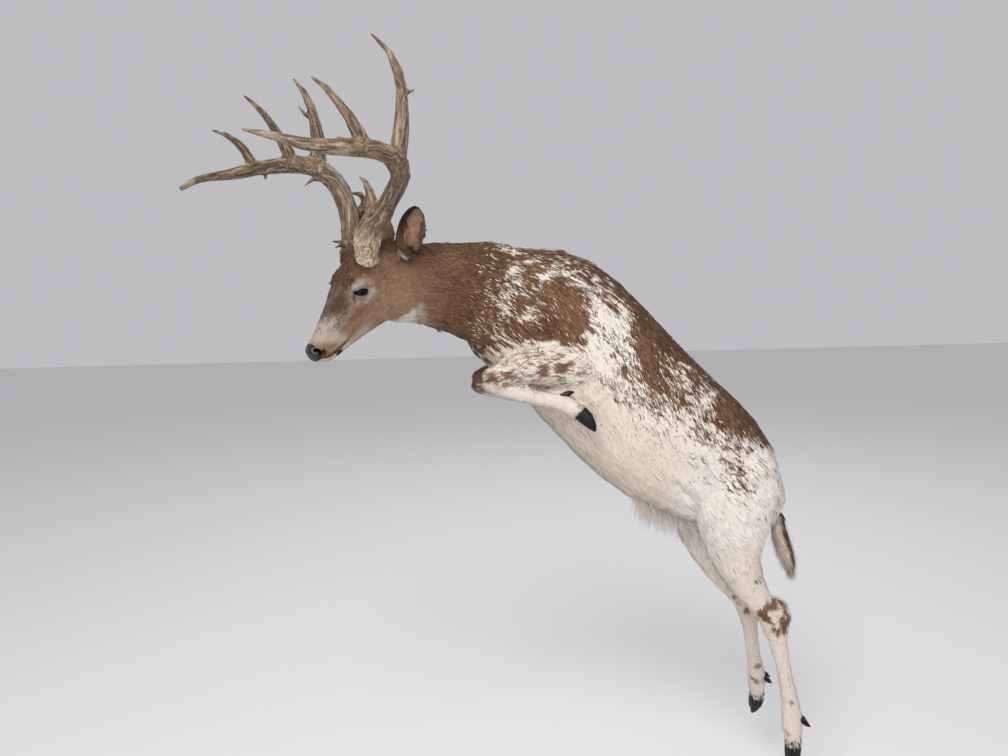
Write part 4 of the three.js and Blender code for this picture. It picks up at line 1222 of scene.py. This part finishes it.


def make_coat(co, tri, skin_place):
    weight = coat_shape(skin_place)[3]
    area = np.linalg.norm(face_normals(co, tri), axis=1) / 2 / MM ** 2
    wanted = int((area * weight[tri].mean(1)).sum())
    count = min(wanted, MOST_TUFTS)
    print("tufts", wanted, count)
    root, normal = scatter(co, tri, weight, count)
    keep = ~bare(root)
    root, normal = root[keep], normal[keep]
    place = Place(root, normal)
    length, width, lift, _ = coat_shape(place)
    n = len(root)
    along = flat(place.flow(), normal)
    across = np.cross(normal, along)
    p = root / MM
    turn = 0.2 * noise(p, 24, 61) + 0.16 * noise(p, 9, 62) + 0.11 * rng.standard_normal(n)
    along = along * np.cos(turn)[:, None] + across * np.sin(turn)[:, None]
    across = np.cross(normal, along)
    length = (length * (0.75 + 0.5 * rng.random(n)) * MM)[:, None]
    half = (width * (0.8 + 0.4 * rng.random(n)) * MM / 2)[:, None]
    rise = (lift * (0.5 + 1.0 * rng.random(n)))[:, None]
    middle = root + along * 0.42 * length + normal * 0.12 * length
    sway = 0.06 * rng.standard_normal(n)[:, None]
    tip = root + length * (along + normal * rise + across * sway)
    points = np.stack([root - normal * ROOT_DEPTH, middle - across * half, tip, middle + across * half], 1)
    roll = rng.random(n)
    # a tuft has the colour of the spot where its middle shows
    color = coat_colors(Place(root + along * 0.5 * length, normal), roll)
    shade = (0.93 + 0.14 * rng.random(n))[:, None]
    dark = fall(color.mean(1), 0.15, 0.35)
    band = (1.1 + dark * (0.95 * rng.random(n) - 0.55))[:, None]
    colors = np.stack([color * 0.8, color * shade, np.minimum(color * band * shade, 0.95), color * shade], 1)
    left, right = (unit(0.85 * normal + lean * across) for lean in (-0.42, 0.42))
    soft = np.stack([normal, left, normal, right], 1)
    at = atlas(place)[:, None] + TUFT_PATCH[None]
    # one group each for the front, the body, and the legs with the tail, each listed with a coat slot's name
    # that nothing uses
    legs = place.part_of_any("tail", *LEGS) > 0.5
    zone = np.where(legs, 2, np.where(place.s < FRONT_END, 0, 1))
    hair = hair_material()
    groups = (("front", "coat_brown", place.q[:, 0]), ("body", "coat_pied", place.s),
              ("limb", "coat_cream", root[:, 0]))
    for k, (label, slot, key) in enumerate(groups):
        mine = np.flatnonzero(zone == k)
        mine = mine[np.argsort(key[mine])]
        for part, chosen in enumerate(np.array_split(mine, max(1, -(-len(mine) // TUFTS_PER_PIECE)))):
            faces = (TUFT_FACES[None] + 4 * np.arange(len(chosen))[:, None, None]).reshape(-1, 3)
            corners, shades, normals = (v[chosen].reshape(-1, 3) for v in (points, colors, soft))
            piece = build(f"coat_{label}_{part + 1}", corners, faces, hair, shades, normals,
                          at[chosen].reshape(-1, 2))
            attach(piece, "root")
    return hair


def locks(name, hair, root, normal, along, length, width, bend, color, tip_color, steps=3):
    """Long hairs: each one a three-sided taper along a bent line. bend is where its tip is pulled to."""
    n = len(root)
    across = unit(np.cross(normal, along))
    up = unit(np.cross(along, across))
    points, colors, patch = [], [], []
    for k, t in enumerate(np.arange(steps + 1) / steps):
        centre = root + along * (length * t)[:, None] + bend * (length * t ** 2)[:, None]
        half = (width / 2 * (0.9 - 0.85 * t ** 1.5) * (1.0 if k else 0.7))[:, None]
        ring = [centre] if k == steps else [centre + v * half for v in (-across, across, up)]
        points += ring
        colors += [mix(color, tip_color, np.full(n, t))] * len(ring)
        patch += [(t, 0.5)] if k == steps else [(t, 0), (t, 1), (t, 0.5)]
    points, colors = np.stack(points, 1), np.stack(colors, 1)
    faces = [(0, 1, 2)]
    for a in range(0, 3 * steps - 3, 3):
        for i, j in ((0, 1), (1, 2), (2, 0)):
            faces += [(a + i, a + 3 + i, a + 3 + j), (a + i, a + 3 + j, a + j)]
    last, end = 3 * steps - 3, 3 * steps
    faces += [(last, end, last + 1), (last + 1, end, last + 2), (last + 2, end, last)]
    faces = outward(points[0], np.array(faces))
    tri = (faces[None] + points.shape[1] * np.arange(n)[:, None, None]).reshape(-1, 3)
    at = atlas(Place(root))[:, None] + PATCH * np.array(patch)[None]
    co = points.reshape(-1, 3)
    piece = build(name, co, tri, hair, colors.reshape(-1, 3), normals_of(co, tri), at.reshape(-1, 2))
    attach(piece, "root")


def make_locks(co, tri, place, hair):
    q, w = place.q, co / MM
    normals = normals_of(co, tri)

    def grow(name, weight, count, length, width, lean, bend, pale=None):
        root, normal = scatter(co, tri, np.maximum(weight, 0) + 1e-12, count)
        here = Place(root, normal)
        along = unit(flat(here.flow(), normal) + normal * lean + 0.16 * rng.standard_normal((count, 3)))
        tone = coat_colors(here, rng.random(count)) if pale is None else \
            np.broadcast_to(pale, (count, 3)) * (0.85 + 0.25 * rng.random(count))[:, None]
        size = length * (0.65 + 0.5 * rng.random(count)) * MM
        pull = np.broadcast_to(np.asarray(bend, float), (count, 3))
        locks(name, hair, root, normal, along, size, np.full(count, width * MM), pull, tone * 0.9,
              tone * 1.08)

    def round_spot(at, radius):
        return np.exp(-(np.linalg.norm(q - at, axis=1) / radius) ** 4)

    part, tail = place.limb["tail"][1], place.part_of("tail")
    edge = step_up(np.abs(normals @ np.array([0.55, 0.0, 0.2])), 0.1, 0.5)
    grow("tail_fringe", tail * (0.25 + edge) * step_up(part, 0.15, 0.5), 2600, 44, 1.1, 0.1,
         (0.04, 0, -0.1))
    grow("tail_tip", tail * step_up(part, 0.7, 0.9), 700, 40, 1.0, 0.05, (0.05, 0, -0.05))
    sheath = bell(to_line(w[:, 0], w[:, 2], [(5, -300), (50, -335), (100, -362)]), 14)
    under = (np.abs(w[:, 1] + 240) < 55) & (normals[:, 2] < -0.2)
    grow("belly_hairs", sheath * under, 900, 60, 1.4, 0.75, (-0.3, 0, -0.45), pale=WHITE)
    for name in ("ear_left", "ear_right"):
        side, out = side_of(name), ear_out(name)
        part, on = place.limb[name][1], place.part_of(name)
        ahead, inside = ear_frame(place, name)
        middle = step_up(ahead, -0.75, -0.5) * fall(ahead, 0.2, 0.5)
        grow(name + "_inner", on * inside * middle * fall(part, 0.4, 0.9), 600, 15, 0.5, 0.12,
             out * 0.05)
        grow(name + "_rim", on * ear_rim(part, ahead, inside), 500, 8, 0.6, 0.1, -out * 0.05,
             pale=WHITE)
        grow(name + "_base", round_spot((-134, side * 80, 7), 9), 300, 20, 0.8, 0.3,
             -HEAD[:, 2] * 0.2, pale=mix(WHITE, CREAM, 0.5))
        grow(name + "_front", round_spot((-128, side * 63, 30), 14), 700, 30, 1.4, 1.0,
             (0, 0, 0))


def make_lashes(hair):
    for label, side in SIDES.items():
        upper = lid_ring(side, 96, 1.06)[2:44]
        root = from_head(upper)
        out = unit(from_head(upper + np.array([0, side, 0])) - root)
        away = unit(upper - (LID_AT[0], side * EYE_AT[1], LID_AT[1])) @ HEAD.T
        along = unit(out + away * 0.35 + HEAD[:, 2] * 0.1 - HEAD[:, 0] * 0.1)
        n = len(root)
        length = (4 + 4 * np.sin(np.linspace(0.3, 2.9, n))) * MM
        dark = np.broadcast_to(BLACK, (n, 3))
        locks("lashes_" + label, hair, root - along * 0.001, out, along, length,
              np.full(n, 0.5 * MM), np.broadcast_to(HEAD[:, 2] * 0.3, (n, 3)), dark, dark)


# ------------------------------------------------------------------ antlers, eyes, hooves, hanger
def webbed(mesh):
    """The same solid with the crooks of its forks filled by webs."""
    co, quads = remesh(mesh.copy(), 3.6 * MM)
    edges, tri = edges_of(quads), as_tri(quads)
    for _ in range(130):
        around = smooth(co, edges, 1, 1.0, (0.7,)) - co
        out = normals_of(co, tri)
        co = co + out * np.maximum((around * out).sum(1), 0)[:, None]
    whole = to_bmesh(co, quads)
    whole.from_mesh(mesh)
    whole.to_mesh(mesh)
    whole.free()
    return mesh


def rounded(mesh, voxel, rounds):
    """A solid's outside, smoothed: vertices and triangles."""
    co, quads = remesh(mesh, voxel)
    return smooth(co, edges_of(quads), rounds), as_tri(quads)


# the colours of each antler's beam, foot and pearls; the left one is the paler, and the right one, on the
# wall's side, is painted darker as shade
ANTLER = {"left": [hexcolor(c) for c in ("927b64", "e0c6ab", "d2c5ae")],
          "right": [hexcolor(c) for c in ("75624f", "54432f", "a08c74")]}
IVORY, IVORY_SHADE = hexcolor("b7a68c"), hexcolor("5a4838")


def make_antler(side, horn):
    names = [n for n in NODES if n.startswith("antler_" + side)]
    co, tri = rounded(webbed(solid_of(names, 0.7 * MM)), 2.0 * MM, 7)
    w = co / MM
    burr = from_head(np.array([-58, 54 * SIDES[side], 42]))
    offsets, values = [], []
    for k, name in enumerate(names):
        path = axis_path([name], arrays(NODES[name].data)[0].mean(0) - burr, 9)
        steps = np.linspace(0, 8, 65)
        centres, slopes = sampled(path[0], steps), unit(sampled(path[1], steps))
        t, part, rel = place_on((centres, slopes, np.interp(steps, range(9), path[2])), co)
        away = (co - sampled(centres, np.clip(part, 0, 1) * 64)) / MM
        ref = unit(np.cross(t, (0.3, 0.2, 0.93)))
        reach = np.linalg.norm(np.diff(centres, axis=0), axis=1).sum() / MM
        lie = np.stack([part * reach + 211 * k, (away * ref).sum(1), (away * np.cross(t, ref)).sum(1)], 1)
        ridge = 0.6 * noise(lie, (64, 4.6, 4.6), 71) + 0.7 * noise(lie, (30, 2.5, 2.5), 72)
        ivory = step_up(part, 0.5, 1.0) if "tine" in name or "tip" in name else 0 * part
        offsets.append(rel)
        values.append(np.column_stack([ridge, ivory, lie]))
    offsets = np.array(offsets)
    share = np.exp(-14 * (offsets - offsets.min(0)))
    share = share / share.sum(0)
    ridge, ivory = (sum(part * v[:, i] for part, v in zip(share, values)) for i in (0, 1))
    lie = np.take_along_axis(np.array([v[:, 2:] for v in values]), offsets.argmin(0)[None, :, None], 0)[0]
    clear = step_up(share.max(0), 0.75, 0.98)
    from_burr = np.linalg.norm(co - burr, axis=1) / MM
    rough = 1 - 0.8 * ivory
    low = fall(from_burr, 35, 130)
    pearl = np.maximum(0.7 * noise(w, 6.0, 73) + 0.5 * noise(w, 3.6, 75), 0) * low
    lift = ridge * 1.15 * rough * (1 - 0.4 * low) + 3.2 * pearl + 2.5 * fall(from_burr, 26, 40)
    co = co + normals_of(co, tri) * lift[:, None] * MM
    w = co / MM
    beam, foot, bead = ANTLER[side]
    crack = noise(lie, (13, 2.8, 2.8), 78) + 0.5 * noise(w, 4.5, 79)
    color = painted(
        hexcolor("6a5543"), (beam, np.clip(0.6 + 0.7 * cloud(w, 60, 74), 0, 1)),
        (hexcolor("3f2f22"), fall(ridge, -0.5, 0.0) * 0.75 * rough),
        (hexcolor("b1a089"), step_up(ridge, 0.1, 0.55) * 0.65),
        (hexcolor("b3a28b"), step_up(offsets.min(0), 1.25, 1.8) * 0.6),
        (mix(IVORY_SHADE, IVORY, np.clip(0.5 + 1.3 * noise(w, (14, 14, 14), 76), 0, 1)), ivory * 0.75),
        (foot, fall(from_burr, 45, 115) * 0.8),
        (hexcolor("3b2b1f"), step_up(crack, 0.18, 0.5) * 0.6 * rough),
        (bead, step_up(pearl, 0.12, 0.45) * 0.6),
        (hexcolor("4d3a2a"), fall(pearl, 0.0, 0.05) * low * 0.35))
    piece = build("antler_" + side, co, tri, horn, color, normals_of(co, tri),
                  extra=(("Lie", lie), ("Clear", clear)))
    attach(piece, "root")
    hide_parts(*names)


def make_eye(side, glass):
    sign = SIDES[side]
    rows, columns = 40, 64
    lat = math.pi * np.arange(1, rows) / rows
    lon = 2 * math.pi * np.arange(columns) / columns
    ring = np.stack([np.outer(np.sin(lat), np.cos(lon)), np.outer(np.sin(lat), np.sin(lon)),
                     np.outer(np.cos(lat), np.ones(columns))], -1).reshape(-1, 3)
    co = np.concatenate([ring, [[0, 0, 1], [0, 0, -1]]])
    i, j = np.meshgrid(np.arange(rows - 2), np.arange(columns), indexing="ij")
    a, b = i * columns + j, i * columns + (j + 1) % columns
    quads = np.stack([a, a + columns, b + columns, b], -1).reshape(-1, 4)
    j = np.arange(columns)
    k = (j + 1) % columns
    pole, low = np.full(columns, len(ring)), (rows - 2) * columns
    tri = np.concatenate([as_tri(quads), np.stack([pole, j, k], 1),
                          np.stack([pole + 1, low + k, low + j], 1)])
    look = unit(np.array([0.1, 1.0 * sign, 0.06]))
    ahead = np.array([math.cos(LID_TILT), 0, math.sin(LID_TILT)])
    ahead = unit(ahead - look * (ahead @ look))
    across, up = co @ ahead, co @ np.cross(look, ahead)
    pupil = np.hypot(across / 0.48, up / 0.30)
    iris = np.hypot(across, up)
    color = painted(hexcolor("24150d"), (hexcolor("070505"), fall(pupil, 0.9, 1.12)),
                    (hexcolor("0c0807"), step_up(iris, 0.7, 0.85)))
    at = from_head(co * EYE_RADIUS + EYE_AT * (1, sign, 1))
    lie = np.stack([np.arctan2(up, across) * 9, iris * 2, 0 * iris], 1)
    piece = build("glass_eye_" + side, at, outward(at, tri), glass, color, extra=(("Lie", lie),))
    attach(piece, "root")
    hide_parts("eye_" + side)


def make_horny(prefix, name, keratin):
    names = [n for n in NODES if n.startswith(prefix)]
    co, tri = rounded(solid_of(names, 0.5 * MM), 1.5 * MM, 5)
    tone = mix(hexcolor("080707"), hexcolor("1c1817"), np.clip(0.5 * cloud(co / MM, 14, 81) + 0.15, 0, 1))
    piece = build(name, co, tri, keratin, tone, normals_of(co, tri))
    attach(piece, "root")
    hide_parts(*names)


def finish_hanger():
    steel, wood = steel_material(), wood_material()
    for name, node in NODES.items():
        if name.startswith("hanger"):
            node.data.materials.clear()
            node.data.materials.append(wood if name == "hanger_block" else steel)


def main():
    add_camera()
    add_room()
    co, tri, place = make_skin()
    hair = make_coat(co, tri, place)
    make_locks(co, tri, place, hair)
    make_lashes(hair)
    horn = antler_material()
    for side in SIDES:
        make_antler(side, horn)
    glass = eye_material()
    for side in SIDES:
        make_eye(side, glass)
    keratin = horn_material()
    make_horny("hoof_", "hooves", keratin)
    make_horny("dewclaw_", "dewclaws", keratin)
    finish_hanger()


main()
